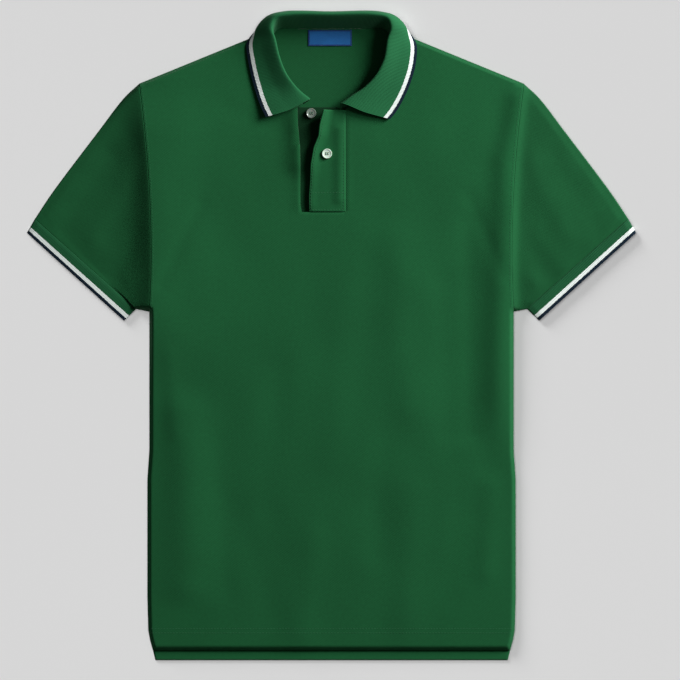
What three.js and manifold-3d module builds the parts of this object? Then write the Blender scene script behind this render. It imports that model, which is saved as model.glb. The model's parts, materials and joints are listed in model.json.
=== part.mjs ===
// A short-sleeved polo shirt in pique knit, laid out flat on its back with its collar folded down.
// Millimetres. +X is to the viewer's right, the wearer's left. +Y runs from the hem to the collar,
// and +Z points up from the surface. The origin is under the middle of the shirt's outline.

import * as THREE from 'three';
import { mergeVertices } from 'three/addons/utils/BufferGeometryUtils.js';
import Module from 'manifold-3d';

const wasm = await Module();
wasm.setup();

// Cloth walls and the gaps between pieces
const WALL = 1.5;
const RIB_WALL = 1.8;
const GAP = 0.3;

// Heights of the layers that lie on each other
const BACK_TOP = WALL;
const EDGE_TOP = BACK_TOP + GAP + WALL;
const FRONT_LOFT = 3.4;
const FRONT_ROLL = 16;
const ARMHOLE_RISE = 1.6;
const ARMHOLE_REACH = 12;
const SLEEVE_LOFT = 2.4;
const SLEEVE_ROLL = 16;
const SLEEVE_FALL = 12;
const CUFF_EDGE_TOP = 2 * RIB_WALL + GAP;
const CUFF_LOFT = 1.2;
const CUFF_ROLL = 8;

// Body outline, half of it
const FRONT_HEM = -361;
const BACK_HEM = -372.7;
const UNDERARM = 28;
const SHOULDER = { x: 221, y: 290 };
const NECK_SIDE = { x: 68, y: 352.5 };
const SIDE_ROWS = [
  { y: BACK_HEM, half: 202.5 },
  { y: FRONT_HEM, half: 205.3 },
  { y: -350, half: 208.4 },
  { y: -338, half: 210.6 },
  { y: -300, half: 211.6 },
  { y: -165, half: 211.6 },
  { y: -131, half: 209.3 },
  { y: UNDERARM, half: 209.3 },
];
const ARMHOLE = { narrowest: 207, narrowestY: 90 };
const ARMHOLE_STEPS = 9;
const SHOULDER_STEPS = 6;
const BODY_STEPS = 15;
const HEM_DEPTH = 20;

// Shares of the half width at which the front's columns stand, closer together towards the side
const FRONT_COLUMNS = [0, 0.14, 0.28, 0.42, 0.55, 0.67, 0.78, 0.86, 0.915, 0.95, 0.975, 0.99, 1];
const BACK_COLUMNS = [0, 0.5, 1];

// Largest soft folds of the front, each from one point to another, with its half width and height
const FRONT_FOLDS = [
  { fromX: -158, fromY: -90, toX: -148, toY: -250, reach: 24, height: 0.5 },
  { fromX: 101, fromY: 95, toX: 110, toY: -90, reach: 28, height: 0.45 },
  { fromX: 181, fromY: 190, toX: 176, toY: -215, reach: 18, height: -0.7 },
  { fromX: -70, fromY: 70, toX: -82, toY: -150, reach: 30, height: 0.35 },
  { fromX: 20, fromY: -120, toX: 34, toY: -300, reach: 34, height: 0.35 },
  { fromX: -176, fromY: 170, toX: -172, toY: 20, reach: 16, height: -0.45 },
];

// Sleeve, on the side of +X: the top fold's course, the seam of the cuff and the cuff's outer edge
const SLEEVE_TOP = [[221.3, 290], [238.6, 273.7], [266.8, 236.9], [322, 163.3], [341, 134.6]];
const CUFF_SEAM = { topX: 341, topY: 134.6, bottomX: 224.8, bottomY: 31 };
const CUFF_EDGE = { topX: 350.2, topY: 118.6, bottomX: 238.6, bottomY: 17.6 };
const SLEEVE_STEPS = 9;
const CUFF_STEPS = 3;
const CUFF_PARTS = 8;

// Collar sections from the middle of the back to the shoulder, the same on both sides.
// Each has the points of the neck seam, the roll, the middle of the leaf and the leaf's edge.
const COLLAR_BACK = [
  { seam: [0, 354, 0.9], roll: [0, 368.6, 25], leaf: [0, 371.4, 13], edge: [0, 367, 2.4] },
  { seam: [42, 354, 0.9], roll: [42, 368.6, 25], leaf: [42, 371.4, 13], edge: [42, 367, 2.4] },
  { seam: [60, 354, 2.9], roll: [64, 365, 24.5], leaf: [74, 366.5, 13], edge: [72, 362, 2.8] },
  { seam: [67.3, 346.5, 3.6], roll: [69, 354, 23], leaf: [85, 354, 13.5], edge: [89, 349, 4.8] },
  { seam: [69.5, 331, 5.2], roll: [65, 340, 21], leaf: [82, 339, 14.5], edge: [97, 335.5, 7.4] },
];
// The same points on the wearer's right, from the shoulder to the front end
const COLLAR_RIGHT = [
  { seam: [66, 315, 5.2], roll: [60.4, 320.9, 19], leaf: [78, 319.5, 13], edge: [95.5, 316, 8.1] },
  { seam: [59, 299, 5.2], roll: [53.5, 303, 17], leaf: [72, 299.5, 12], edge: [91.4, 296.7, 8.1] },
  { seam: [50, 285, 5.2], roll: [44.3, 289.2, 15], leaf: [64, 283.5, 11], edge: [86.3, 278.3, 8.1] },
  { seam: [40, 275, 5.2], roll: [35, 279.5, 13.5], leaf: [57, 270, 10.5], edge: [81, 263.4, 8.1] },
  { seam: [31.6, 266.8, 5.2], roll: [24.7, 271.4, 12.5], leaf: [49, 259, 10], edge: [75.3, 251.3, 8.1] },
];
// The same points on the wearer's left, whose leaf reaches farther in
const COLLAR_LEFT = [
  { seam: [64.5, 312.8, 5.2], roll: [61, 317.4, 19], leaf: [78.5, 315, 13], edge: [96.6, 312.8, 8.1] },
  { seam: [55, 294.4, 5.2], roll: [51, 298, 17], leaf: [70, 293.5, 12], edge: [90.3, 289.8, 8.1] },
  { seam: [42, 279.5, 5.2], roll: [37.4, 284, 15.5], leaf: [59, 277, 11.5], edge: [82.2, 271.4, 8.1] },
  { seam: [28, 269, 5.2], roll: [23.6, 275, 14], leaf: [48, 265.5, 11], edge: [74.2, 257.6, 8.1] },
  { seam: [9.8, 261.5, 5.2], roll: [12, 266.5, 12.5], leaf: [39, 256.5, 10.5], edge: [67.3, 249, 8.1] },
];
const COLLAR_STEPS = 44;
const COLLAR_PARTS = 15;

// Placket: the upper band lies over the under band in the slot of the front
const PLACKET_WALL = 2.2;
const PLACKET_RISE = PLACKET_WALL - WALL;
const PLACKET_RIGHT = 16.1;
const PLACKET_BOTTOM = 142.6;
const UPPER_TOP = 259.5;
const UNDER_TOP = 263;
const UNDER_RIGHT = 7;
const UNDER_LAP = 3;
const PLACKET_ROWS = [
  { y: 142.6, left: -25.9, slot: -34 },
  { y: 150, left: -25.9, slot: -35.6 },
  { y: 162, left: -25.9, slot: -35.8 },
  { y: 180, left: -24.5, slot: -35.8 },
  { y: 196, left: -23.8, slot: -35.8 },
  { y: 216, left: -20.3, slot: -36.2 },
  { y: 230, left: -14.6, slot: -37.4 },
  { y: 242, left: -13.2, slot: -38.6 },
  { y: 259.5, left: -8.4, slot: -39 },
  { y: 263, left: -8, slot: -39 },
];
const PLACKET_COLUMNS = 6;
const SLOT_REACH = 272;

// Buttons with four holes, and the woven label
const BUTTON = { radius: 5.75, thickness: 2.4, rim: 0.9, dish: 0.5, hole: 0.75, holeCircle: 1.6 };
const BUTTON_SIDES = 28;
const LOWER_BUTTON = { x: -5.2, y: 209.3 };
const TOP_BUTTON = { x: -23.6, y: 255.9, tilt: 0.08 };
const LABEL = { x: -1.7, width: 50, top: 351.8, height: 18.4, thickness: 0.6 };

// Height that the cutting prisms span
const CUT = { from: -5, to: 60 };
const MIRROR = new THREE.Matrix4().makeScale(-1, 1, 1);

// Cloth and button colours
const PIQUE = new THREE.MeshStandardMaterial({ color: 0x1c5230, roughness: 0.92, metalness: 0 });
const RIB = new THREE.MeshStandardMaterial({ color: 0x1e5634, roughness: 0.9, metalness: 0 });
const PEARL = new THREE.MeshStandardMaterial({ color: 0xc9d0bd, roughness: 0.3, metalness: 0 });
const WOVEN = new THREE.MeshStandardMaterial({ color: 0x1f3f8c, roughness: 0.7, metalness: 0 });

function spaced(from, to, steps) {
  return Array.from({ length: steps + 1 }, (_, step) => from + ((to - from) * step) / steps);
}

function ease(share) {
  const held = Math.min(Math.max(share, 0), 1);
  return held * held * (3 - 2 * held);
}

// A value of a table at a height between two of its rows
function between(rows, y, column) {
  const above = rows.findIndex((row) => row.y >= y);
  if (above <= 0) {
    return rows[above < 0 ? rows.length - 1 : 0][column];
  }
  const low = rows[above - 1];
  const high = rows[above];
  return low[column] + ((high[column] - low[column]) * (y - low.y)) / (high.y - low.y);
}

// Half the body's width: side seam, armhole, then the slope of the shoulder
function halfWidth(y) {
  if (y <= UNDERARM) {
    return between(SIDE_ROWS, y, 'half');
  }
  if (y <= SHOULDER.y) {
    const low = y < ARMHOLE.narrowestY;
    const end = low ? { x: SIDE_ROWS.at(-1).half, y: UNDERARM } : SHOULDER;
    const share = (y - ARMHOLE.narrowestY) / (end.y - ARMHOLE.narrowestY);
    return ARMHOLE.narrowest + (end.x - ARMHOLE.narrowest) * share ** 2;
  }
  const share = (y - SHOULDER.y) / (NECK_SIDE.y - SHOULDER.y);
  return SHOULDER.x + (NECK_SIDE.x - SHOULDER.x) * share;
}

const ARMHOLE_ROWS = spaced(UNDERARM, SHOULDER.y, ARMHOLE_STEPS);

// Heights of the rows of a body panel from its hem to its neck
function bodyRows(hem) {
  return [
    ...SIDE_ROWS.map((row) => row.y).filter((y) => y > hem && y < hem + 2 * HEM_DEPTH),
    ...spaced(hem + 2 * HEM_DEPTH, UNDERARM, BODY_STEPS),
    ...ARMHOLE_ROWS.slice(1),
    ...spaced(SHOULDER.y, NECK_SIDE.y, SHOULDER_STEPS).slice(1),
    hem,
  ].sort((a, b) => a - b);
}

// Courses that the front comes down to. Along the armhole it stays up, level with the sleeve.
const outlinePoint = (y) => new THREE.Vector2(halfWidth(y), y);
const SIDE_COURSE = [
  new THREE.Vector2(0, FRONT_HEM),
  ...bodyRows(FRONT_HEM).filter((y) => y <= UNDERARM).map(outlinePoint),
];
const SHOULDER_COURSE = [outlinePoint(SHOULDER.y), outlinePoint(NECK_SIDE.y)];
const ARMHOLE_COURSE = ARMHOLE_ROWS.map(outlinePoint);

function distanceToLine(point, from, to) {
  const along = to.clone().sub(from);
  const share = point.clone().sub(from).dot(along) / along.lengthSq();
  return point.distanceTo(from.clone().addScaledVector(along, Math.min(Math.max(share, 0), 1)));
}

function distanceToCourse(course, point) {
  return Math.min(...course.slice(1).map((to, step) => distanceToLine(point, course[step], to)));
}

// Height that the soft folds add or take
function foldHeight(folds, x, y) {
  const point = new THREE.Vector2(x, y);
  return folds.reduce((total, fold) => {
    const from = new THREE.Vector2(fold.fromX, fold.fromY);
    const to = new THREE.Vector2(fold.toX, fold.toY);
    const share = distanceToLine(point, from, to) / fold.reach;
    return total + fold.height * Math.exp(-(share ** 2));
  }, 0);
}

// The upper face of the front panel
function frontTop(x, y) {
  const point = new THREE.Vector2(Math.abs(x), y);
  const inward = Math.min(distanceToCourse(SIDE_COURSE, point), distanceToCourse(SHOULDER_COURSE, point));
  const armhole = ARMHOLE_RISE * Math.exp(-distanceToCourse(ARMHOLE_COURSE, point) / ARMHOLE_REACH);
  return EDGE_TOP + ease(inward / FRONT_ROLL) * (FRONT_LOFT + armhole + foldHeight(FRONT_FOLDS, x, y));
}

// A closed wall between the outer and inner points of its rows. Wrapped rows close on themselves.
function wallGeometry(rows, wrapped = false) {
  const across = rows[0].length;
  const positions = rows.flat().flatMap((pair) => [...pair.outer.toArray(), ...pair.inner.toArray()]);
  const outer = (row, column) => 2 * (row * across + (column % across));
  const inner = (row, column) => outer(row, column) + 1;
  const triangles = [];
  const quad = (a, b, c, d) => triangles.push(a, b, c, a, c, d);
  const columns = wrapped ? across : across - 1;
  const last = rows.length - 1;
  for (let row = 0; row < last; row += 1) {
    for (let column = 0; column < columns; column += 1) {
      const next = column + 1;
      quad(outer(row, column), outer(row, next), outer(row + 1, next), outer(row + 1, column));
      quad(inner(row, column), inner(row + 1, column), inner(row + 1, next), inner(row, next));
    }
  }
  for (let column = 0; column < columns; column += 1) {
    const next = column + 1;
    quad(outer(0, column), inner(0, column), inner(0, next), outer(0, next));
    quad(outer(last, column), outer(last, next), inner(last, next), inner(last, column));
  }
  if (!wrapped) {
    const end = across - 1;
    for (let row = 0; row < last; row += 1) {
      quad(outer(row, 0), outer(row + 1, 0), inner(row + 1, 0), inner(row, 0));
      quad(outer(row, end), inner(row, end), inner(row + 1, end), outer(row + 1, end));
    }
  }
  const geometry = new THREE.BufferGeometry();
  geometry.setAttribute('position', new THREE.Float32BufferAttribute(positions, 3));
  geometry.setIndex(triangles);
  return geometry;
}

// A flat-lying wall: upper and lower heights at the same points
function layerPair(x, y, top, bottom) {
  return { outer: new THREE.Vector3(x, y, top), inner: new THREE.Vector3(x, y, bottom) };
}

function mirrored(geometry) {
  const other = geometry.clone().applyMatrix4(MIRROR);
  const index = [...other.getIndex().array];
  for (let corner = 0; corner < index.length; corner += 3) {
    [index[corner], index[corner + 1]] = [index[corner + 1], index[corner]];
  }
  other.setIndex(index);
  return other;
}

function toSolid(geometry) {
  const bare = geometry.clone();
  bare.deleteAttribute('normal');
  bare.deleteAttribute('uv');
  const merged = mergeVertices(bare);
  const mesh = new wasm.Mesh({
    numProp: 3,
    vertProperties: new Float32Array(merged.getAttribute('position').array),
    triVerts: new Uint32Array(merged.getIndex().array),
  });
  return new wasm.Manifold(mesh);
}

function toGeometry(solid) {
  const mesh = solid.getMesh();
  const geometry = new THREE.BufferGeometry();
  geometry.setAttribute('position', new THREE.BufferAttribute(new Float32Array(mesh.vertProperties), 3));
  geometry.setIndex([...mesh.triVerts]);
  return geometry;
}

// An upright prism over an outline, for cutting through a panel
function cutter(points) {
  const shape = new THREE.Shape(points.map(([x, y]) => new THREE.Vector2(x, y)));
  const prism = new THREE.ExtrudeGeometry(shape, { depth: CUT.to - CUT.from, bevelEnabled: false });
  return toSolid(prism.translate(0, 0, CUT.from));
}

// Sections of the collar in order from the wearer's left front, round the back, to the right front
function collarSections() {
  const onSide = (side) => (row) => {
    return Object.fromEntries(
      Object.entries(row).map(([name, [x, y, z]]) => [name, new THREE.Vector3(side * x, y, z)]),
    );
  };
  return [
    ...[...COLLAR_BACK, ...COLLAR_LEFT].map(onSide(1)).reverse(),
    ...[...COLLAR_BACK.slice(1), ...COLLAR_RIGHT].map(onSide(-1)),
  ];
}

// The collar's middle surface: a row of points across it for each step round the neck
function collarSurface() {
  const sections = collarSections();
  const course = (name) => new THREE.CatmullRomCurve3(sections.map((section) => section[name]));
  const [seam, roll, leaf, edge] = ['seam', 'roll', 'leaf', 'edge'].map(course);
  return spaced(0, 1, COLLAR_STEPS).map((share) => {
    const points = [seam, roll, leaf, edge].map((curve) => curve.getPoint(share));
    const across = new THREE.CatmullRomCurve3(points);
    return spaced(0, 1, COLLAR_PARTS).map((part) => across.getPoint(part));
  });
}

const COLLAR_SURFACE = collarSurface();

function collarGeometry() {
  const last = COLLAR_SURFACE.length - 1;
  const end = COLLAR_PARTS;
  const rows = COLLAR_SURFACE.map((line, row) => line.map((point, part) => {
    const across = line[Math.min(part + 1, end)].clone().sub(line[Math.max(part - 1, 0)]);
    const ahead = COLLAR_SURFACE[Math.min(row + 1, last)][part].clone();
    ahead.sub(COLLAR_SURFACE[Math.max(row - 1, 0)][part]);
    const out = across.cross(ahead).normalize().multiplyScalar(RIB_WALL / 2);
    return { outer: point.clone().add(out), inner: point.clone().sub(out) };
  }));
  return wallGeometry(rows);
}

// The neck hole of the front, just outside the collar's foot
function neckHole() {
  const foot = COLLAR_SURFACE.map((line) => line[0]);
  const clear = RIB_WALL / 2 + 2 * GAP;
  const points = foot.map((point, step) => {
    const ahead = foot[Math.min(step + 1, foot.length - 1)];
    const behind = foot[Math.max(step - 1, 0)];
    const along = new THREE.Vector2(ahead.x - behind.x, ahead.y - behind.y).normalize();
    return [point.x + along.y * clear, point.y - along.x * clear];
  });
  return cutter(points);
}

// The slot in the front that the placket fills
function placketSlot() {
  const rows = PLACKET_ROWS.filter((row) => row.y > PLACKET_BOTTOM);
  const right = PLACKET_RIGHT + GAP;
  const bottom = PLACKET_BOTTOM - GAP;
  return cutter([
    [right, SLOT_REACH],
    [rows.at(-1).slot, SLOT_REACH],
    ...rows.map((row) => [row.slot, row.y]).reverse(),
    [rows[0].slot, bottom],
    [right, bottom],
  ]);
}

function panelColumns(shares) {
  return [...shares.slice(1).reverse().map((share) => -share), ...shares];
}

function frontGeometry() {
  const rows = bodyRows(FRONT_HEM).map((y) => panelColumns(FRONT_COLUMNS).map((share) => {
    const x = share * halfWidth(y);
    const top = frontTop(x, y);
    return layerPair(x, y, top, top - WALL);
  }));
  return toGeometry(toSolid(wallGeometry(rows)).subtract(neckHole()).subtract(placketSlot()));
}

function backGeometry() {
  const rows = bodyRows(BACK_HEM).map((y) => panelColumns(BACK_COLUMNS).map((share) => {
    return layerPair(share * halfWidth(y), y, BACK_TOP, 0);
  }));
  return wallGeometry(rows);
}

// A flattened tube's ring: along the upper layer from its first fold to its second, then back below
function flatRing(place, length, edgeTop, wall, shares, loft) {
  const radius = edgeTop / 2;
  const rounds = [
    { in: 0, rise: 0 },
    { in: radius * (1 - Math.SQRT1_2), rise: Math.SQRT1_2 },
    { in: radius, rise: 1 },
  ];
  const upper = [
    ...rounds.map((round) => ({ at: round.in, rise: round.rise, bend: true })),
    ...shares.map((share) => ({ at: share * length, rise: 1, bend: false })),
    ...rounds.map((round) => ({ at: length - round.in, rise: round.rise, bend: true })).reverse(),
  ];
  const inside = edgeTop / 2 - wall;
  const pairAt = (step, side) => {
    const lift = side > 0 && !step.bend ? loft(step.at / length, step.at) : 0;
    const inner = Math.min(Math.max(step.at, wall + inside * step.rise), length - wall - inside * step.rise);
    const [x, y] = place(step.at / length);
    const [innerX, innerY] = step.bend ? place(inner / length) : [x, y];
    return {
      outer: new THREE.Vector3(x, y, radius + side * radius * step.rise + lift),
      inner: new THREE.Vector3(innerX, innerY, radius + side * inside * step.rise + lift),
    };
  };
  return [
    ...upper.map((step) => pairAt(step, 1)),
    ...upper.slice(1, -1).reverse().map((step) => pairAt(step, -1)),
  ];
}

const SLEEVE_TOP_CURVE = new THREE.CatmullRomCurve3(SLEEVE_TOP.map(([x, y]) => new THREE.Vector3(x, y, 0)));

// A point of the sleeve: how far it is from the armhole to the cuff, and from the fold to the underarm
function sleevePlace(along, across) {
  const armholeY = SHOULDER.y + (UNDERARM - SHOULDER.y) * across;
  const armholeX = rowHalfWidth(armholeY) + GAP;
  const cuffX = CUFF_SEAM.topX + (CUFF_SEAM.bottomX - CUFF_SEAM.topX) * across;
  const cuffY = CUFF_SEAM.topY + (CUFF_SEAM.bottomY - CUFF_SEAM.topY) * across;
  const top = SLEEVE_TOP_CURVE.getPointAt(along);
  const start = SLEEVE_TOP[0];
  const bow = (1 - across) ** 2;
  const straightX = start[0] + (CUFF_SEAM.topX - start[0]) * along;
  const straightY = start[1] + (CUFF_SEAM.topY - start[1]) * along;
  return [
    armholeX + (cuffX - armholeX) * along + bow * (top.x - straightX),
    armholeY + (cuffY - armholeY) * along + bow * (top.y - straightY),
  ];
}

// The armhole between the rows that the body and the sleeve share is straight
function rowHalfWidth(y) {
  const rows = ARMHOLE_ROWS.map((row) => ({ y: row, half: halfWidth(row) }));
  return between(rows, y, 'half');
}

function placeLength(place) {
  const [startX, startY] = place(0);
  const [endX, endY] = place(1);
  return Math.hypot(endX - startX, endY - startY);
}

function sleeveGeometry() {
  const shares = ARMHOLE_ROWS.slice(1, -1).reverse().map((y) => {
    return (SHOULDER.y - y) / (SHOULDER.y - UNDERARM);
  });
  const rows = spaced(0, 1, SLEEVE_STEPS).map((along) => {
    const place = (across) => sleevePlace(along, across);
    const length = placeLength(place);
    const loft = (across, at) => {
      const [x, y] = place(across);
      const fromArmhole = Math.max(x - rowHalfWidth(y), 0);
      const fromFold = Math.min(at, length - at);
      const step = (FRONT_LOFT - SLEEVE_LOFT + ARMHOLE_RISE) * Math.exp(-fromArmhole / SLEEVE_FALL);
      return (SLEEVE_LOFT + step) * ease(fromFold / SLEEVE_ROLL);
    };
    return flatRing(place, length, EDGE_TOP, WALL, shares, loft);
  });
  return wallGeometry(rows, true);
}

function cuffGeometry() {
  const shares = spaced(0, 1, CUFF_PARTS).slice(1, -1);
  const bandX = CUFF_EDGE.topX - CUFF_SEAM.topX;
  const bandY = CUFF_EDGE.topY - CUFF_SEAM.topY;
  const start = GAP / Math.hypot(bandX, bandY);
  const rows = spaced(start, 1, CUFF_STEPS).map((along) => {
    const mix = (name) => CUFF_SEAM[name] + (CUFF_EDGE[name] - CUFF_SEAM[name]) * along;
    const place = (across) => [
      mix('topX') + (mix('bottomX') - mix('topX')) * across,
      mix('topY') + (mix('bottomY') - mix('topY')) * across,
    ];
    const length = placeLength(place);
    const loft = (across, at) => CUFF_LOFT * ease(Math.min(at, length - at) / CUFF_ROLL);
    return flatRing(place, length, CUFF_EDGE_TOP, RIB_WALL, shares, loft);
  });
  return wallGeometry(rows, true);
}

// A placket band that follows the front's upper face, between two heights from it
function bandGeometry(rows, left, right, top, bottom) {
  return wallGeometry(rows.map((y) => spaced(left(y), right, PLACKET_COLUMNS).map((x) => {
    const face = frontTop(x, y);
    return layerPair(x, y, face + top, face + bottom);
  })));
}

function upperPlacketGeometry() {
  const rows = PLACKET_ROWS.map((row) => row.y).filter((y) => y <= UPPER_TOP);
  const left = (y) => between(PLACKET_ROWS, y, 'left');
  return bandGeometry(rows, left, PLACKET_RIGHT, PLACKET_RISE, -WALL);
}

function underPlacketGeometry() {
  const rows = [PLACKET_BOTTOM - UNDER_LAP, ...PLACKET_ROWS.map((row) => row.y)];
  const left = (y) => between(PLACKET_ROWS, y, 'slot') - UNDER_LAP;
  return bandGeometry(rows.filter((y) => y <= UNDER_TOP), left, UNDER_RIGHT, -WALL - GAP, -2 * WALL - GAP);
}

// A dished disc with a rim and four holes
function buttonGeometry() {
  const { radius, thickness, rim, dish, hole, holeCircle } = BUTTON;
  const bevel = rim / 2;
  const profile = [
    [0, 0],
    [radius - bevel, 0],
    [radius, bevel],
    [radius, thickness - bevel],
    [radius - bevel, thickness],
    [radius - rim - bevel, thickness],
    [radius - 2 * rim, thickness - dish],
    [0, thickness - dish],
  ];
  const disc = new THREE.LatheGeometry(profile.map(([r, z]) => new THREE.Vector2(r, z)), BUTTON_SIDES);
  const upright = toSolid(disc.rotateX(Math.PI / 2));
  const holes = [0, 1, 2, 3].map((quarter) => {
    const turn = (quarter + 0.5) * (Math.PI / 2);
    const drill = new THREE.CylinderGeometry(hole, hole, 3 * thickness, 10).rotateX(Math.PI / 2);
    return toSolid(drill.translate(holeCircle * Math.cos(turn), holeCircle * Math.sin(turn), 0));
  });
  return toGeometry(holes.reduce((solid, drill) => solid.subtract(drill), upright));
}

function labelGeometry() {
  const box = new THREE.BoxGeometry(LABEL.width, LABEL.height, LABEL.thickness);
  return box.translate(LABEL.x, LABEL.top - LABEL.height / 2, BACK_TOP + GAP + LABEL.thickness / 2);
}

const shirt = new THREE.Group();

function addPiece(name, geometry, material) {
  const mesh = new THREE.Mesh(geometry, material);
  mesh.name = name;
  shirt.add(mesh);
  return mesh;
}

addPiece('back', backGeometry(), PIQUE);
addPiece('front', frontGeometry(), PIQUE);

const sleeve = sleeveGeometry();
addPiece('sleeve_left', sleeve, PIQUE);
addPiece('sleeve_right', mirrored(sleeve), PIQUE);

const cuff = cuffGeometry();
addPiece('cuff_left', cuff, RIB);
addPiece('cuff_right', mirrored(cuff), RIB);

addPiece('collar', collarGeometry(), RIB);
addPiece('placket_upper', upperPlacketGeometry(), PIQUE);
addPiece('placket_under', underPlacketGeometry(), PIQUE);
addPiece('label', labelGeometry(), WOVEN);

const lowerButton = addPiece('button_lower', buttonGeometry(), PEARL);
const lowerFace = frontTop(LOWER_BUTTON.x, LOWER_BUTTON.y) + PLACKET_RISE;
lowerButton.position.set(LOWER_BUTTON.x, LOWER_BUTTON.y, lowerFace + GAP);

const topButton = addPiece('button_top', buttonGeometry(), PEARL);
const tiltRise = BUTTON.radius * Math.sin(TOP_BUTTON.tilt);
const underFace = frontTop(TOP_BUTTON.x, TOP_BUTTON.y) - WALL - GAP;
topButton.position.set(TOP_BUTTON.x, TOP_BUTTON.y, underFace + GAP + tiltRise);
topButton.rotation.y = TOP_BUTTON.tilt;

export default shirt;
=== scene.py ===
"""A pique polo shirt laid out flat: its cloth, stitching, buttons and label, and the light on them.

Lengths are in millimetres until a point is placed. +X is the viewer's right, +Y runs towards the
collar and +Z up from the surface.
"""

import json
import math

import bmesh
import bpy
import numpy as np
from mathutils import Matrix, Vector, noise

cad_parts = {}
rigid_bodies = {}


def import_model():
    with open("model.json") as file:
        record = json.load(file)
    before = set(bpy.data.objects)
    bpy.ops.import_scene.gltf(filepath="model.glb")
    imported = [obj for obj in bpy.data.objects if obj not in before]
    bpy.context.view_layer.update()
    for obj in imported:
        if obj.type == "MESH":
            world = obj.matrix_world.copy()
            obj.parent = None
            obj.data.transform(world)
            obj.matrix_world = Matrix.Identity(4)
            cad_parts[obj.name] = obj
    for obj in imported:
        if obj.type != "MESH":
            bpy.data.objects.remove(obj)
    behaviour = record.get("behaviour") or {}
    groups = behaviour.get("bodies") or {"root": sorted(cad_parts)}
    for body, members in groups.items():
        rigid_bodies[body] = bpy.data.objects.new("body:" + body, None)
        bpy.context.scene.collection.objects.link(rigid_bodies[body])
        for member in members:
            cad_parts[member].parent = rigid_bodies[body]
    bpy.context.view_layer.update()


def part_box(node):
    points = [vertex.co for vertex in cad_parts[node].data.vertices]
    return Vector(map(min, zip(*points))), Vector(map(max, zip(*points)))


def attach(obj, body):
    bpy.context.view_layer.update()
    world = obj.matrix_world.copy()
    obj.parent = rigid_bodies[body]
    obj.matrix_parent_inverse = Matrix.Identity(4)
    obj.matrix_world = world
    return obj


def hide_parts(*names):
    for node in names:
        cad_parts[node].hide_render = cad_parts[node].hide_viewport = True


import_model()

bl_info = {
    "name": "Polo Shirt",
    "version": (1, 0, 0),
    "blender": (4, 5, 0),
    "location": "View3D > Sidebar > Polo Shirt",
    "description": "Builds a pique polo shirt laid out flat, piece by piece",
    "category": "Add Mesh",
}

MM = 0.001


def node_box(node):
    """A solid's lowest and highest corners, in millimetres."""
    low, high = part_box(node)
    return Vector(low) / MM, Vector(high) / MM


# Sizes taken from the solids
FRONT_LOW, FRONT_HIGH = node_box("front")
BACK_LOW, BACK_HIGH = node_box("back")
SLEEVE_LOW, SLEEVE_HIGH = node_box("sleeve_left")
UPPER_LOW, UPPER_HIGH = node_box("placket_upper")
UNDER_LOW, UNDER_HIGH = node_box("placket_under")
LABEL_LOW, LABEL_HIGH = node_box("label")
LOWER_BUTTON_LOW, LOWER_BUTTON_HIGH = node_box("button_lower")
TOP_BUTTON_LOW, TOP_BUTTON_HIGH = node_box("button_top")

# Walls, gaps and heights of the layers
WALL = 1.5
RIB_WALL = 1.8
GAP = 0.3
SEAM_GAP = 0.05
EDGE_TOP = 2 * WALL + GAP
FRONT_LOFT = 3.4
FRONT_ROLL = 16.0
SIDE_ROLL = 4.5
ARMHOLE_RISE = 1.6
ARMHOLE_REACH = 12.0
# The cloth itself stands high along the wearer's right armhole: height, reach inwards
HIGH_SIDE = (7.2, 62.0)
# The share of it that is left at the shoulder, and the length over which it grows from there
HIGH_SIDE_FADE = (0.35, 60.0)
# A long soft ridge beside the wearer's left armhole and side: its course, its reach by height on
# the body, its height as a share of the reach, and where and over what length it fades out below
LONG_RIDGE = [
    (214.0, 271.0), (208.0, 237.0), (200.0, 202.0), (200.0, 133.0), (196.0, 64.0), (193.0, -5.0),
    (193.0, -170.0),
]
LONG_RIDGE_REACH = {"y": [150.0, 240.0], "reach": [18.0, 12.5]}
LONG_RIDGE_RISE = 0.23
LONG_RIDGE_FADE = (-160.0, 110.0)
SLEEVE_LOFT = 2.4
SLEEVE_ROLL = 12.0
# How a sleeve falls from its seam: reach and power on the wearer's left, then on the right
SLEEVE_FALLS = {1: (5.0, 1.5), -1: (18.5, 1.3)}
SLEEVE_DROP = 1.7
SLEEVE_LENGTH = 190.0
# Where along the sleeve it starts to level with the cuff, and its height there
SLEEVE_END = (0.94, 0.9)
CUFF_EDGE_TOP = 2 * RIB_WALL + GAP
CUFF_LOFT = 1.2
CUFF_ROLL = 8.0
# Where along its width a cuff is pressed down, with the reach and the depth
CUFF_PINCHES = [(0.0, 0.1, 0.45), (1.0, 0.05, 0.25)]

# Half the body's outline: side seam, armhole and shoulder
UNDERARM = SLEEVE_LOW.y
SHOULDER = (FRONT_HIGH.x, SLEEVE_HIGH.y)
NECK_SIDE = (68.0, FRONT_HIGH.y)
SIDE_Y = [BACK_LOW.y, FRONT_LOW.y, -350.0, -338.0, -300.0, -165.0, -131.0, UNDERARM]
SIDE_HALF = [202.5, 205.3, 208.4, 210.6, 211.6, 211.6, 209.3, 209.3]
ARMHOLE_NARROWEST = (207.0, 90.0)
ARMHOLE_ROWS = [UNDERARM + (SHOULDER[1] - UNDERARM) * step / 9 for step in range(10)]
ARMHOLE_STITCH = 2.6

# Soft folds: from a point to a point, with the reach to each side and the height
FRONT_FOLDS = [
    (-158, -90, -148, -250, 24, 0.5),
    (101, 95, 110, -90, 28, 0.45),
    (181, 190, 176, -215, 18, -0.7),
    (-70, 70, -82, -150, 30, 0.35),
    (20, -120, 34, -300, 34, 0.35),
    (-176, 170, -172, 20, 16, -0.45),
]
# Unevenness of each cloth: scale, height and a number that sets its pattern
FRONT_RIPPLE = (42.0, 0.5, 3.7)
FRONT_RIPPLE_STRETCH = 0.55
SLEEVE_RIPPLE = (30.0, 0.45, 8.1)
CUFF_RIPPLE = (24.0, 0.35, 5.2)
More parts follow.
